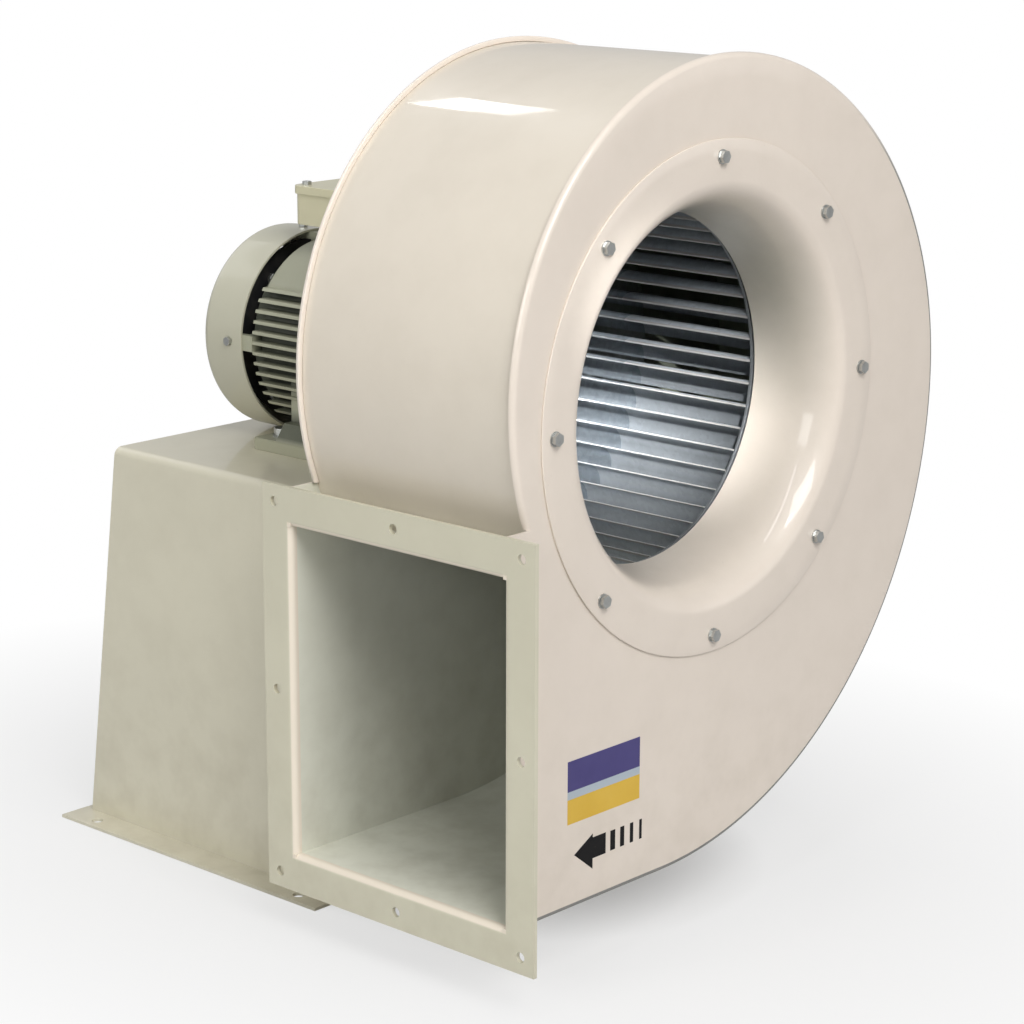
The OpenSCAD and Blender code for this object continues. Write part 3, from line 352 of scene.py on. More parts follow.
# The pedestal's darker, greener tone is painted shade
pedestal_enamel = enamel("cream_enamel_pedestal", rgb(219, 214, 194), peel=1.2, grime=1.1)
# The motor's pieces take darker, greener copies of the enamel as painted shade
cast_enamel = enamel("cream_enamel_castings", rgb(186, 184, 162), peel=3.5, coat=0.35,
                     rough=0.42, wave=0.5)
# The frame and shields also carry painted shade in the fins' grooves and underneath
frame_enamel = enamel("frame_enamel", rgb(172, 173, 152), peel=3.5, coat=0.3, rough=0.44,
                      wave=0.5, shade=fin_roots)
# The feet also carry painted shade on their webs
foot_enamel = enamel("foot_enamel", rgb(176, 176, 154), peel=3.5, coat=0.3, rough=0.46,
                     wave=0.5, shade=foot_webs, shade_colour=(84, 88, 74))
# The cowl's inside carries near-black painted shade
cowl_enamel = enamel("cowl_enamel", rgb(196, 194, 175), peel=1.4, coat=0.45, wave=1.6,
                     shade=inside_cowl, shade_colour=(20, 20, 20))
print("enamels", len(bpy.data.materials))

# %% [markdown]
# ## Bare metals
# Zinc-plated screws are bright and slightly blue with a soft clouding. Galvanised sheet
# has crystals, called spangle, that a Voronoi pattern draws well, and on the wheel it has
# lost its shine under dust that the air lays down along the blades, with a painted
# highlight on the blades' inner edges and painted shade between them. Turned steel keeps
# rings from the tool; laminations show their edges as fine lines along the shaft.


# %% Zinc, galvanised sheet, turned and cast metal
def plating(name, colour, dull, grain):
    """Metal plating: clouded colour and roughness with a fine grain."""

    def build(where):
        cloud = where.noise(160.0, 3.0, 0.6, 1.0)
        fine = where.noise(1800.0, 2.0, 0.6, 2.0)
        return {
            "Base Color": cloud.ramp(0.3, 0.7).blend(shaded(colour, 0.82), colour),
            "Roughness": dull + cloud * 0.18,
            "height": fine * grain + cloud * 0.5,
            "depth": 0.00003,
        }

    return finish(name, build, Metallic=1.0)


def spangled(name, colour, dust_colour, dust_amount, rough=0.34, metal=1.0, waves=1.0,
             highlight_radius=0.0):
    """Galvanised sheet: crystal tones by Voronoi cell, dulled by dust in streaks. Within
    highlight_radius of the shaft, in metres, it has a painted highlight, and farther out
    painted shade that darkens and dulls it."""

    def build(where):
        cell = where.node("ShaderNodeTexVoronoi", out=1, Vector=where, Scale=230.0)
        tone = where.node("ShaderNodeSeparateColor", out=0, Color=cell)
        streak = where.stretched(1.0, 0.25, 1.0).noise(70.0, 4.0, 0.65, 1.0)
        patch = where.noise(18.0, 3.0, 0.5, 2.0)
        dust = (streak * 0.6 + patch * 0.6 - 0.25).ramp(0.15, 0.60) * dust_amount
        crystals = tone.ramp(0.0, 1.0).blend(shaded(colour, 0.90), shaded(colour, 1.06))
        dust_and_painted_tone = dust.blend(crystals, dust_colour)
        dull = dust * 0.8
        if highlight_radius:
            # Painted highlight on the blades' inner edges and painted shade farther out between them
            radius = shaft_distance(where)
            blade_shade = radius.ramp(highlight_radius + 0.003, highlight_radius + 0.022) * 0.75
            bright = 1.0 - radius.ramp(highlight_radius, highlight_radius + 0.0008)
            dust_and_painted_tone = blade_shade.blend(dust_and_painted_tone, rgb(56, 60, 63))
            dust_and_painted_tone = bright.blend(dust_and_painted_tone, rgb(198, 196, 194))
            dull = dull.math("MAXIMUM", blade_shade * 0.8)
        return {
            "Base Color": dust_and_painted_tone,
            "Metallic": metal - dull * metal,
            "Roughness": rough + tone * (rough * 0.25) + dust * 0.30,
            "height": (streak * 0.6 + tone * 0.08) * waves,
            "depth": 0.00006,
        }

    return finish(name, build)


def turned_metal(name, colour, rough, rings):
    """Turned metal: rings from the tool, worked out from the distance to the shaft."""

    def build(where):
        radius = shaft_distance(where)
        line = (radius * rings).math("SINE")
        grit = where.noise(900.0, 3.0, 0.6, 1.0)
        return {
            "Base Color": grit.ramp(0.3, 0.7).blend(shaded(colour, 0.85), colour),
            "Roughness": rough + grit * 0.15,
            "height": line * 0.4 + grit,
            "depth": 0.00003,
        }

    return finish(name, build, Metallic=1.0)


def cast_iron_finish(name, colour):
    """Sand-cast iron: dark, rough, pitted, with a trace of rust."""

    def build(where):
        sand = where.noise(900.0, 4.0, 0.7, 1.0)
        rust = where.noise(60.0, 5.0, 0.6, 2.0).ramp(0.56, 0.74)
        return {
            "Base Color": (rust * 0.5).blend(colour, rgb(96, 62, 42)),
            "Roughness": 0.50 + sand * 0.2,
            "Metallic": 0.75 - rust * 0.6,
            "height": sand,
            "depth": 0.00016,
        }

    return finish(name, build)


def stacked_sheet(name, colour):
    """Electrical laminations: half-millimetre sheets whose edges show as lines along Y."""

    def build(where):
        along = where.node("ShaderNodeSeparateXYZ", out=1, Vector=where)
        edge = (along * 2000.0).math("FRACT")
        groove = edge.ramp(0.82, 0.95)
        bake = where.noise(40.0, 3.0, 0.5, 1.0)
        return {
            "Base Color": (groove * 0.6).blend(bake.blend(shaded(colour, 0.8), colour),
                                               rgb(40, 40, 46)),
            "Roughness": 0.42 + bake * 0.2,
            "height": 1.0 - groove,
            "depth": 0.00008,
        }

    return finish(name, build, Metallic=0.85)


zinc = plating("zinc_plating", rgb(198, 200, 198), 0.24, 0.4)
bearing_steel = plating("bearing_steel", rgb(205, 207, 210), 0.08, 0.1)
black_steel = plating("blackened_steel", rgb(58, 58, 62), 0.34, 0.5)
cast_aluminium = plating("cast_aluminium", rgb(190, 192, 194), 0.38, 1.2)
brass = plating("plain_brass", rgb(190, 158, 88), 0.26, 0.4)
# The wheel's blades carry a painted highlight at their inner edges and painted shade between them
wheel_sheet = spangled("wheel_galvanised", rgb(206, 213, 219), rgb(132, 137, 140), 0.20,
                       rough=0.28, metal=0.40, highlight_radius=0.1618)
disc_sheet = spangled("disc_galvanised", rgb(214, 220, 225), rgb(120, 124, 128), 0.05,
                      rough=0.05, waves=0.2)
ring_sheet = spangled("ring_galvanised", rgb(120, 124, 127), rgb(96, 99, 101), 0.30,
                      metal=0.45)
seal_sheet = spangled("seal_galvanised", rgb(176, 181, 184), rgb(130, 128, 120), 0.35)
shaft_steel = turned_metal("turned_steel", rgb(190, 192, 196), 0.18, 9000.0)
hub_iron = cast_iron_finish("hub_iron", rgb(92, 92, 92))
laminations = stacked_sheet("laminations", rgb(128, 126, 132))
print("metals ready")

# %% [markdown]
# ## Plastics, rubber and windings
# The cooling fan, cable gland, terminal board and seal are moulded. Moulded surfaces are
# never one flat colour: they have a fine texture, flow marks and a little dust. The
# windings are varnished copper, taped round, so they show a weave round the ring.


# %% Mouldings and taped copper
def moulding(name, colour, rough, texture=1.0, dust=0.2):
    """Moulded plastic or rubber: eroded texture, flow marks and settled dust."""

    def build(where):
        spark = where.noise(1400.0, 2.0, 0.6, 1.0)
        flow = where.noise(30.0, 3.0, 0.5, 2.0)
        film = flow.ramp(0.45, 0.75) * dust
        return {
            "Base Color": film.blend(flow.blend(shaded(colour, 0.85), shaded(colour, 1.15)),
                                     rgb(150, 144, 132)),
            "Roughness": rough + spark * 0.12 + film * 0.3,
            "height": spark * texture,
            "depth": 0.00005,
        }

    return finish(name, build)


def taped_copper(name):
    """Windings: copper strands under a varnished tape wound in slanting turns."""

    def build(where):
        weave = where.node("ShaderNodeTexWave", {"bands_direction": "DIAGONAL"}, out=1,
                           Vector=where, Scale=55.0, Distortion=1.2, Detail=2.0)
        strand = where.noise(420.0, 2.0, 0.5, 1.0)
        return {
            "Base Color": weave.blend(rgb(120, 52, 22), rgb(182, 96, 46)),
            "Roughness": 0.30 + strand * 0.25,
            "height": weave * 2.0 + strand,
            "depth": 0.0003,
        }

    return finish(name, build, Coat_Weight=0.4, Coat_Roughness=0.2)


black_plastic = moulding("black_plastic", rgb(34, 34, 36), 0.42)
gland_plastic = moulding("gland_plastic", rgb(52, 52, 54), 0.46, 1.5)
board_plastic = moulding("board_plastic", rgb(98, 52, 36), 0.36, 0.6, 0.1)
black_rubber = moulding("black_rubber", rgb(26, 26, 27), 0.62, 1.5, 0.3)
windings = taped_copper("taped_copper")
print("materials", len(bpy.data.materials))

# %% [markdown]
# ## Dressing the exact pieces
# Every exact piece gets the finish of its record slot by assigning to its material slot.
# Pieces that show from outside also need broken edges, because no real edge is perfectly
# sharp and the bright line along it is what makes sheet metal read as metal. Their
# meshes must stay as they are, so a merged copy stands for each, with a Bevel modifier.

# %% Finishes by slot
slot_finish = {
    "front_paint": front_enamel, "casing_paint": casing_enamel,
    "flange_paint": flange_enamel, "pedestal_paint": pedestal_enamel,
    "motor_paint": cast_enamel, "zinc": zinc, "galvanised": wheel_sheet,
    "hub_iron": hub_iron, "shaft_steel": shaft_steel, "bearing_steel": bearing_steel,
    "laminations": laminations, "cast_rings": cast_aluminium, "winding": windings,
    "seal_rubber": black_rubber, "fan_plastic": black_plastic, "black_steel": black_steel,
    "board": board_plastic, "brass": brass, "gland_plastic": gland_plastic,
}
slot_of = {s["node"]: s["material_slot"] for s in frame["record"]["subparts"]}
for node_name, thing in nodes.items():
    thing.data.materials.clear()
    thing.data.materials.append(slot_finish[slot_of[node_name]])
box_enamel = enamel("box_enamel", rgb(214, 209, 178), peel=2.0, coat=0.4)
own_finish = {
    "shaft_seal_plate": seal_sheet, "wheel_back_disc": disc_sheet,
    "wheel_front_ring": ring_sheet, "terminal_box": box_enamel,
    "terminal_box_lid": box_enamel, "motor_frame": frame_enamel,
    "drive_end_shield": frame_enamel, "rear_end_shield": frame_enamel,
    "motor_feet": foot_enamel, "fan_cowl": cowl_enamel, "cutoff_plate": inside_enamel,
}
for node_name, material in own_finish.items():
    nodes[node_name].data.materials[0] = material
print("dressed", len(slot_of), "nodes in", len(set(slot_of.values())), "slots")


# %% A piece, its body and its finish
def body_of_node(node_name):
    """The body that the record puts a node in."""
    return next(b for b, members in frame["record"]["behaviour"]["bodies"].items()
                if node_name in members)


def settle(piece, node_name, material, *stands_for):
    """Links a piece, gives it its finish and slot, and lets it ride with a node's body."""
    bpy.context.scene.collection.objects.link(piece)
    piece.data.materials.clear()
    piece.data.materials.append(material)
    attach(piece, body_of_node(node_name))
    if stands_for:
        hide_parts(*stands_for)
    return piece


sharp_edge, flat_joint = math.radians(32), math.radians(0.5)


def softened(node_name, width):
    """A merged copy of an exact piece with its edges rounded by width millimetres."""
    mesh = nodes[node_name].data.copy()
    mesh.name = node_name + "_soft"
    shape = bmesh.new()
    shape.from_mesh(mesh)
    bmesh.ops.remove_doubles(shape, verts=shape.verts, dist=2e-6)
    bmesh.ops.dissolve_limit(shape, angle_limit=flat_joint, verts=shape.verts,
                             edges=shape.edges)
    shape.to_mesh(mesh)
    shape.free()
    if mesh.attributes.get("custom_normal"):
        mesh.attributes.remove(mesh.attributes["custom_normal"])
    mesh.shade_smooth()
    mesh.set_sharp_from_angle(angle=sharp_edge)
    piece = bpy.data.objects.new(node_name + "_soft", mesh)
    edge = piece.modifiers.new("broken_edges", "BEVEL")
    edge.width, edge.segments, edge.limit_method = width / 1000, 2, "ANGLE"
    edge.angle_limit, edge.harden_normals = sharp_edge, True
    return settle(piece, node_name, nodes[node_name].data.materials[0], node_name)


edge_widths = {
    "outlet_flange": 0.7, "pedestal_shell": 0.8, "pedestal_end_panel": 0.6,
    "motor_frame": 0.7, "drive_end_shield": 1.0, "rear_end_shield": 0.8,
    "motor_feet": 1.2, "terminal_box": 0.8, "terminal_box_lid": 1.6, "fan_cowl": 0.5,
    "cable_gland": 0.6, "inlet_screws": 0.35, "motor_foot_bolts": 0.5,
    "motor_foot_nuts": 0.5, "cowl_screws": 0.4, "lid_screws": 0.4, "pedestal_bolts": 0.4,
    "pedestal_nuts": 0.4, "shield_screws": 0.4, "wheel_hub": 1.0, "hub_rivets": 1.0,
    "shaft_end_bolt": 0.5, "shaft_end_washer": 0.4, "wheel_blades": 0.25,
    "wheel_front_ring": 0.6,
}
for node_name, width in edge_widths.items():
    softened(node_name, width)
print("softened", len(edge_widths), "pieces")

# %% [markdown]
# ## Skins worked out from formulas
# The large curved sheets are what the light runs along, so they are made afresh from
# their own formulas, finely enough that no facet shows. A loft is enough for all of
# them: closed rings of points, each joined to the next.


# %% A loft through closed rings
def loft(name, rings, round_trip):
    """A skin over rings[i, j], each ring closed in j. The rings close on themselves in i, or
    else the two end rings are filled. Faces are turned outwards by the sign of the volume,
    the sum of the triple products of their corners."""
    count, around = rings.shape[:2]
    i, j = np.meshgrid(np.arange(count if round_trip else count - 1), np.arange(around),
                       indexing="ij")
    following, beside = (i + 1) % count, (j + 1) % around
    quads = np.stack([i * around + j, i * around + beside, following * around + beside,
                      following * around + j], -1).reshape(-1, 4)
    points = rings.reshape(-1, 3)
    corner = points[quads] - points.mean(0)
    volume = (np.cross(corner[:, 0], corner[:, 1]) * corner[:, 2]).sum() + (
        np.cross(corner[:, 0], corner[:, 2]) * corner[:, 3]).sum()
    faces = (quads if volume > 0 else quads[:, ::-1]).tolist()
    if not round_trip:
        first, last = list(range(around)), list(range((count - 1) * around, count * around))
        faces += [first[::-1], last] if volume < 0 else [first, last[::-1]]
    mesh = bpy.data.meshes.new(name)
    mesh.from_pydata(points.tolist(), [], faces)
    mesh.validate()
    mesh.shade_smooth()
    mesh.set_sharp_from_angle(angle=math.radians(40))
    return bpy.data.objects.new(name, mesh)


def quarter(centre, radius, start, end, steps=5):
    """Points on a circle's arc in a section, from one angle in degrees to another."""
    turn = np.radians(np.linspace(start, end, steps))
    return [(centre[0] + radius * np.cos(t), centre[1] + radius * np.sin(t)) for t in turn]


print("loft ready")

# %% [markdown]
# ## The scroll
# A scroll is laid out as a workshop does it, from three arcs that meet square to each
# other, each larger than the last, with a straight floor to the outlet. Everything on
# the casing follows that one line at some distance from it: the strip, the folded seams
# and the side plates. So the line is a function of that distance.

# %% The scroll's line
arcs = [((13.0, 25.0), 264.0), ((13.0, -21.0), 310.0), ((-63.0, -21.0), 386.0)]
sheet = 2.0                            # thickness of the strip, the plates and the bell
duct_low, duct_high = -407.0, -107.0   # the outlet's floor and roof
gusset_z = -72.0                       # top of the plates' corner beside the flange
gusset_x = -262.9                      # where that corner meets the flange's back
flange_leg_x = -259.0                  # end of the strip's floor, at the flange's leg
floor_steps = 24


def scroll_line(off, foot_z):
    """The scroll grown by off millimetres, from height foot_z on the outlet side, over the top
    and down to the floor: for each arc, centre + (radius + off) (cos, sin). Returns X and Z."""
    (centre, radius), spans = arcs[0], [170, 150, 200]
    low = math.degrees(math.asin((centre[1] - foot_z) / (radius + off)))
    ends = [(180 + low, 90), (90, 0), (0, -90)]
    parts = []
    for (centre, radius), (a, b), n in zip(arcs, ends, spans):
        turn = np.radians(np.linspace(a, b, n, endpoint=False))
        parts.append(np.stack([centre[0] + (radius + off) * np.cos(turn),
                               centre[1] + (radius + off) * np.sin(turn)]))
    floor_x = np.linspace(arcs[2][0][0], flange_leg_x, floor_steps)
    parts.append(np.stack([floor_x, np.full(floor_steps, duct_low - off)]))
    return np.concatenate(parts, 1)


print("scroll line", scroll_line(0, duct_high).shape[1], "points")

# %% [markdown]
# ## The strip between the plates
# One long sheet, 2 mm thick, rolled along the scroll's line. Its section is a thin
# rectangle, carried along the line, so each ring is that section at one station.


# %% Scroll strip
strip_rows = 9
strip_play = 0.02


def strip_piece():
    """Rings of a section as wide as the casing and as thick as the sheet: the line at the
    sheet's outer face, across the width, and back along its inner face."""
    inner = scroll_line(0.0, duct_high + sheet)
    outer = scroll_line(sheet, duct_high + sheet)
    ys = np.linspace(strip_play, casing_w - strip_play, strip_rows)
    ring = [in_place(outer[0], y, outer[1]) for y in ys]
    ring += [in_place(inner[0], y, inner[1]) for y in ys[::-1]]
    return loft("scroll_strip", np.stack(ring, 1), False)


def paint(piece, numbers, first, last, material):
    """Gives the faces whose numbers are from first to below last one more material."""
    piece.data.materials.append(material)
    chosen = np.zeros(len(numbers), int)
    piece.data.polygons.foreach_get("material_index", chosen)
    chosen[(numbers >= first) & (numbers < last)] = len(piece.data.materials) - 1
    piece.data.polygons.foreach_set("material_index", chosen)
    return piece


strip = settle(strip_piece(), "scroll_wrapper", casing_enamel, "scroll_wrapper")
row = np.arange(len(strip.data.polygons)) % (2 * strip_rows)
paint(strip, row, strip_rows, 2 * strip_rows - 1, inside_enamel)
print("strip made")

# %% [markdown]
# ## The side plates
# Each plate is one sheet whose rim is folded over the strip's edge, which makes the soft
# lip that catches the light all round the casing. The skin runs from the hole out over
# the face, round the fold, along the lip, back under it and home, and closes on itself.


# %% Side plates with their folded rims
def plate_piece(name, hole_r, at_y, inwards, outside, outside_rim):
    """Closed rings round the plate: hole edge, face, soft fold, lip and underside. A section
    point is how far it stands off the scroll's line and how deep it lies. at_y is the inner
    face and inwards is +1 if the casing lies towards +Y."""
    reach, fold, lip, hem, play = 7.0, 5.0, 4.0, 0.8, 0.2
    fold_steps, shaded_fold_steps = 10, 7
    section = quarter((reach - fold, fold - sheet), fold, -90, 0, fold_steps)
    section += quarter((reach - hem, lip - hem), hem, 0, 90)
    section += quarter((sheet + play + hem, lip - hem), hem, 90, 180)
    section += [(sheet + play, 0.0)]
    loops = []
    # Past the floor's end each ring goes up the flange's leg, the gusset's foot and its back
    for grow, y in section:
        edge = scroll_line(grow, gusset_z)
        depth = np.full(edge.shape[1], y)
        low_y = min(y, 0.0)
        foot_z = duct_low - min(grow, reach - 0.1)
        corner_x = np.array([flange_leg_x, flange_leg_x, flange_leg_x, gusset_x, gusset_x,
                             edge[0, 0] - 0.3])
        corner_z = np.array([foot_z, foot_z + 0.2, duct_high + sheet, duct_high + sheet,
                             gusset_z, gusset_z])
        corner_y = np.array([y, low_y, low_y, low_y, low_y, low_y])
        rim_x, rim_z = np.append(edge[0], corner_x), np.append(edge[1], corner_z)
        rim_y = np.append(depth, corner_y)
        loops.append((rim_x, rim_y, rim_z))
    # A ring a margin inside the rim keeps every face flat where the rim steps at the gusset
    margin, near_end = 14.0, -245.0
    edge = scroll_line(-margin, gusset_z)
    near_x = np.append(np.maximum(edge[0], near_end),
                       [near_end, near_end, near_end, near_end - 1, near_end - 1, near_end + 2])
    near_z = np.append(edge[1], [duct_low + margin, duct_low + margin + 0.2,
                                 -118.0, -110.0, -90.0, -84.0])
    turn = np.arctan2(near_z, near_x)
    hole_x, hole_z = hole_r * np.cos(turn), hole_r * np.sin(turn)
    outer_face, inner_face = np.full_like(turn, -sheet), np.zeros_like(turn)
    whole = [(hole_x, outer_face, hole_z)]
    near = (near_x, outer_face, near_z)
    for share in (0.12, 0.55):
        whole.append(tuple(a + (b - a) * share for a, b in zip(whole[0], near)))
    whole.append(near)
    fold_row = len(whole)
    whole += loops + [(near_x, inner_face, near_z), (hole_x, inner_face, hole_z)]
    rings = np.stack([in_place(x, at_y + inwards * y, z) for x, y, z in whole])
    plate = settle(loft(name, rings, True), name, outside, name)
    row = np.arange(len(plate.data.polygons)) // rings.shape[1]
    # The fold's first rings take outside_rim, which on the front plate carries painted shade
    paint(plate, row, fold_row, fold_row + shaded_fold_steps, outside_rim)
    return paint(plate, row, len(whole) - 3, len(whole) - 1, inside_enamel)


plate_piece("front_side_plate", 190.5, 0.0, 1.0, front_enamel, rim_enamel)
plate_piece("back_side_plate", 45.0, casing_w, -1.0, back_enamel, back_enamel)
print("plates made")

# %% [markdown]
# ## The inlet bell
# The bell is spun from one disc: a flat ring that is screwed to the plate, and a mouth
# that follows a quarter of an ellipse into a short straight throat. It is a surface of
# revolution, so its section is turned round the shaft in fine steps.


# %% Spun bell
def bell_piece():
    """Section points (radius, y) turned round the shaft: x = r cos t, z = r sin t."""
    throat, flare, depth, lip, hem = 157.5, 32.0, 76.0, 6.0, 0.7
    face_y, ring_r, screw_zone = -2 * sheet, 225.0, (200.0, 212.0)
    end_y, back_y = face_y + depth, face_y + sheet
    a = np.radians(np.linspace(0, 90, 30))
    normal = np.stack([depth * np.cos(a), flare * np.sin(a)])
    normal /= np.linalg.norm(normal, axis=0)
    inner = np.stack([throat + flare * (1 - np.cos(a)), end_y - depth * np.sin(a)])
    outer = inner + sheet * normal
    rim = np.array(quarter((ring_r - hem, face_y + hem), hem, -90, 0, 4)
                   + quarter((ring_r - hem, back_y - hem), hem, 0, 90, 4)).T
    ring_in = np.array([screw_zone, (face_y, face_y)])
    ring_out = np.array([screw_zone[::-1], (back_y, back_y)])
    end = np.array([[throat + sheet, throat + sheet, throat + 0.3, throat],
                    [end_y + 1, end_y + lip - 0.3, end_y + lip, end_y + lip - 0.3]])
    section = np.concatenate([inner, ring_in, rim, ring_out, outer[:, ::-1], end], 1)
    turn = np.linspace(0, 2 * np.pi, 288, endpoint=False)
    rings = in_place(section[0][None] * np.cos(turn)[:, None], section[1][None],
                     section[0][None] * np.sin(turn)[:, None])
    return loft("spun_bell", rings, True)


settle(bell_piece(), "inlet_bell", bell_enamel, "inlet_bell")
print("bell made")

# %% [markdown]
# ## Printed arrow and banded label
# An arrow with a tail of four bars shows which way the air leaves. It is a film of ink on
# the front plate, so it stands a twentieth of a millimetre proud. Over it is a label of
# plain colour bands. Outlines are in the plate's plane, in millimetres from the shaft.


# %% Films on the front plate
def ink_build(where):
    """Screen-printed ink: nearly black, thinner in spots where the enamel shows."""
    worn = where.noise(300.0, 4.0, 0.7, 1.0)
    return {"Base Color": worn.ramp(0.60, 0.85).blend(rgb(16, 15, 17), rgb(70, 67, 64)),
            "Roughness": 0.46 + worn * 0.2}


def vinyl_build(where):
    """A vinyl label of three plain bands, violet over pale over yellow, faded unevenly."""
    fade = where.noise(40.0, 3.0, 0.5, 2.0)
    fibre = where.noise(1500.0, 2.0, 0.5, 3.0)
    violet = fade.blend(rgb(58, 50, 112), rgb(74, 68, 128))
    yellow = fade.blend(rgb(214, 172, 48), rgb(226, 188, 74))
    level = above_shaft(where)
    lower = (level > -0.3150).blend(yellow, rgb(176, 188, 198))
    return {"Base Color": (level > -0.3080).blend(lower, violet),
            "Roughness": 0.28 + fibre * 0.12, "height": fibre, "depth": 0.00002}


def film_piece(name, outlines, lift, material):
    """Thin prisms over the front plate's outer face: each outline drawn at two depths, lift
    millimetres over that face and just clear of it."""
    corners, faces = [], []
    for outline in outlines:
        first, n = len(corners), len(outline)
        for depth in (-sheet - lift, -sheet - 0.005):
            corners += [tuple(in_place(x, depth, z)) for x, z in outline]
        faces.append(tuple(range(first, first + n)))
        faces.append(tuple(range(first + 2 * n - 1, first + n - 1, -1)))
        faces += [(first + k, first + n + k, first + n + (k + 1) % n, first + (k + 1) % n)
                  for k in range(n)]
    mesh = bpy.data.meshes.new(name)
    mesh.from_pydata(corners, [], faces)
    shape = bmesh.new()
    shape.from_mesh(mesh)
    bmesh.ops.recalc_face_normals(shape, faces=shape.faces)
    shape.to_mesh(mesh)
    shape.free()
    return settle(bpy.data.objects.new(name, mesh), "front_side_plate", material)


head = [(-180, -366), (-156, -353), (-156, -356.5), (-139, -356.5), (-139, -375.5),
        (-156, -375.5), (-156, -385)]
bars = [[(x, -357), (x + w, -357), (x + w, -375), (x, -375)]
        for x, w in ((-133, 6.5), (-120, 5.5), (-107, 4.5), (-94.5, 3.5))]
black_ink = finish("black_ink", ink_build, Specular_IOR_Level=0.2)
film_piece("air_arrow", [head] + bars, 0.05, black_ink)
banded_vinyl = finish("banded_vinyl", vinyl_build)
label = [(-189, -281), (-95, -281), (-95, -337), (-189, -337)]
film_piece("banded_label", [label], 0.12, banded_vinyl)
print("films laid")

# %% [markdown]
# ## Floor, backdrop and lamps
# The photograph is a catalogue picture: white behind, with soft light from a large box
# above the inlet and the outlet, a lower one beyond the outlet, and weak fills from the
# side and from behind. Small boxes leave the highlights on the strip, its rims and the
# bell. The backdrop is white only to the camera and to reflections, and the floor turns
# white to the camera away from the object, so neither lights it more than the lamps do.


# %% Stage
def flat_piece(name, corners, material):
    """A four-cornered face in the model's frame."""
    mesh = bpy.data.meshes.new(name)
    mesh.from_pydata(corners, [], [(0, 1, 2, 3)])
    thing = bpy.data.objects.new(name, mesh)
    thing.data.materials.append(material)
    bpy.context.scene.collection.objects.link(thing)
    return thing


def floor_build(where):
    """Pale floor: almost white, with the faintest unevenness."""
    tone = where.noise(3.0, 2.0, 0.5, 1.0)
    return {"Base Color": tone.blend(rgb(206, 206, 206), rgb(212, 212, 212))}


floor_material = finish("pale_floor", floor_build, Roughness=0.75, Specular_IOR_Level=0.2)
tree = floor_material.node_tree
output = next(n for n in tree.nodes if n.type == "OUTPUT_MATERIAL")
where = Wire(tree).node("ShaderNodeTexCoord", out=3)
spread = where.stretched(1.0, 0.8, 0.0)
far = spread.node("ShaderNodeVectorMath", {"operation": "LENGTH"}, out=1, _0=spread)
whiter = far.ramp(0.30, 0.75) * 0.34 + far.ramp(0.06, 0.24) * 0.66
camera_ray = Wire(tree).node("ShaderNodeLightPath", out=0)
white = where.node("ShaderNodeEmission", Color=(1.0, 1.0, 1.0, 1.0), Strength=1.0)
lit = Wire(tree, output.inputs["Surface"].links[0].from_socket)
mixed = where.node("ShaderNodeMixShader", _0=camera_ray * whiter, _1=lit, _2=white)
tree.links.new(mixed.socket, output.inputs["Surface"])
floor_z, floor_reach = cad_box[0].z - 0.0005, 9
flat_piece("floor", [(x * floor_reach, y * floor_reach, floor_z)
                     for x, y in ((-1, -1), (1, -1), (1, 1), (-1, 1))], floor_material)

world = bpy.data.worlds.new("studio")
bpy.context.scene.world = world
world.use_nodes = True
world.node_tree.nodes.clear()
path = Wire(world.node_tree).node("ShaderNodeLightPath")
rays = path.socket.node.outputs
seen = (Wire(world.node_tree, rays["Is Camera Ray"])
        + Wire(world.node_tree, rays["Is Transmission Ray"])
        + Wire(world.node_tree, rays["Is Glossy Ray"]) * 0.4)
strength = seen * 0.76 + 0.24
sky = strength.node("ShaderNodeBackground", Color=(1.0, 1.0, 1.0, 1.0), Strength=strength)
world_output = world.node_tree.nodes.new("ShaderNodeOutputWorld")
world.node_tree.links.new(sky.socket, world_output.inputs["Surface"])
print("stage ready")


# %% Lamps
def aimed(data, at, towards):
    """A lamp at a place, turned towards a point."""
    lamp = bpy.data.objects.new(data.name, data)
    lamp.location = at
    lamp.rotation_mode = "QUATERNION"
    lamp.rotation_quaternion = (Vector(towards) - Vector(at)).to_track_quat("-Z", "Y")
    bpy.context.scene.collection.objects.link(lamp)


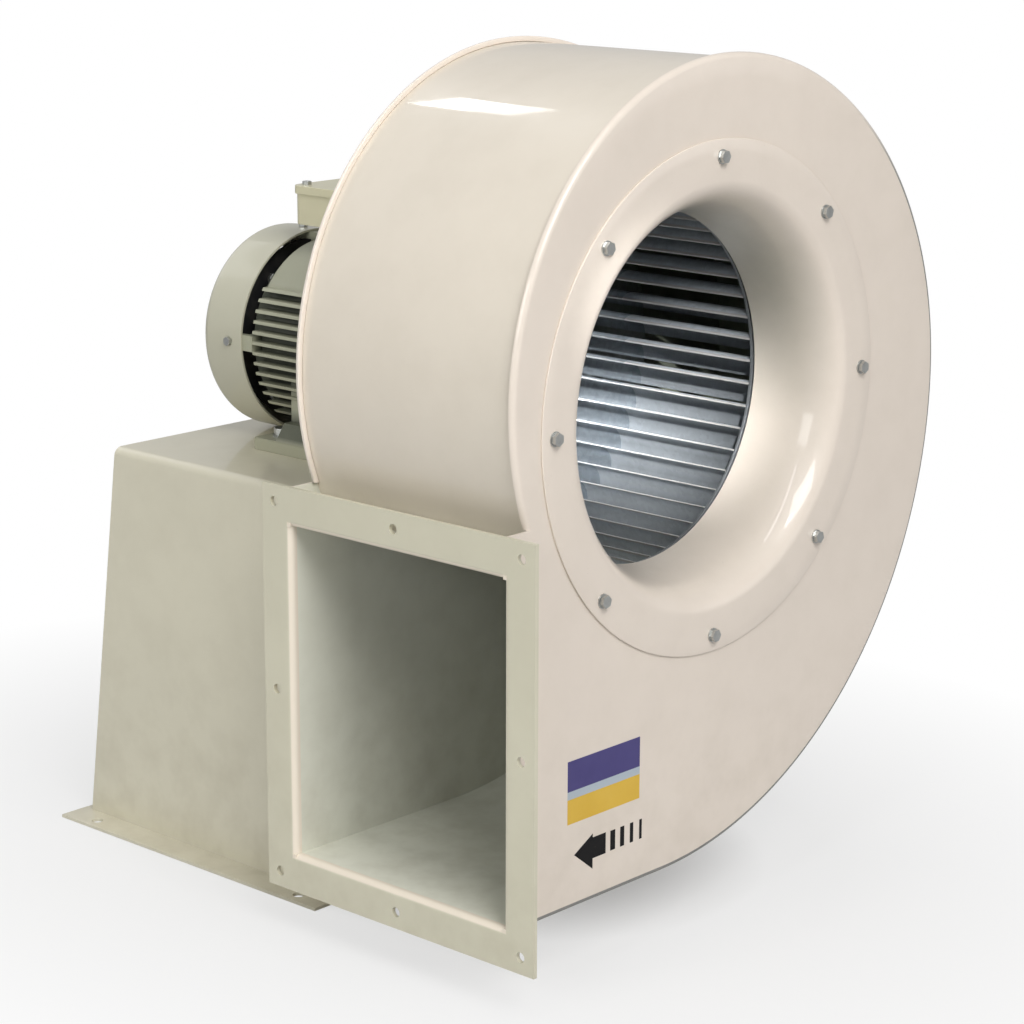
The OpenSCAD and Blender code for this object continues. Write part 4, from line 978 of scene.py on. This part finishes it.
def softbox(name, at, towards, width, height, power, colour=(1.0, 1.0, 1.0)):
    """A rectangular lamp, width by height in metres."""
    data = bpy.data.lights.new(name, "AREA")
    data.shape, data.size, data.size_y = "RECTANGLE", width, height
    data.energy, data.color = power, colour
    aimed(data, at, towards)


def snooted(name, at, towards, spread_degrees, size, power):
    """A lamp with a tube round it, which keeps its light to a narrow soft-edged cone."""
    data = bpy.data.lights.new(name, "SPOT")
    data.spot_size, data.spot_blend = math.radians(spread_degrees), 1.0
    data.shadow_soft_size, data.energy = size, power
    aimed(data, at, towards)


middle, strip_top = Vector((0.0, 0.0, 0.4)), (0.0, -0.20, 0.80)
# Large boxes light the object: key, low (into the outlet), side and back. Small ones leave
# a highlight each: over and over_end on the strip's top, tube on its rims, eye in the bell
softbox("key", middle + Vector((-1.6, -3.4, 3.2)), middle, 2.2, 2.2, 138.0, (1.0, 0.99, 0.98))
softbox("low", middle + Vector((-3.6, -0.6, 1.5)), middle, 1.8, 1.2, 40.0, (0.99, 1.0, 0.97))
softbox("over", (0.40, 1.567, 2.448), strip_top, 0.22, 0.10, 1.5)
softbox("over_end", (0.40, 1.507, 2.511), strip_top, 0.22, 0.07, 0.35)
softbox("tube", (-1.05, -0.85, 2.48), (-1.05, -0.84, 0.45), 2.3, 0.10, 6.0)
softbox("eye", (-0.35, -1.75, 2.35), (0.06, -0.20, 0.40), 0.22, 0.22, 2.5)
softbox("side", middle + Vector((2.2, -3.2, 0.9)), middle, 2.4, 1.8, 9.0, (1.0, 0.985, 0.98))
softbox("back", middle + Vector((-0.2, 3.4, 1.9)), middle, 2.4, 1.6, 14.0)
# The snooted lamp lights the wheel through the throat and misses the plate round it
snooted("snoot", (-1.40, -1.70, 1.41), (0.0, -0.24, 0.484), 4.2, 0.06, 1250.0)
bpy.context.scene.view_settings.view_transform = "Standard"
print("lamps", len(bpy.data.lights))

# %% [markdown]
# ## The exact model's box
# The dressed object is meant to fill the exact model's box and no more; that box is printed.

# %% The exact model's box
print("cad", [round(v, 4) for v in (*cad_box[0], *cad_box[1])])
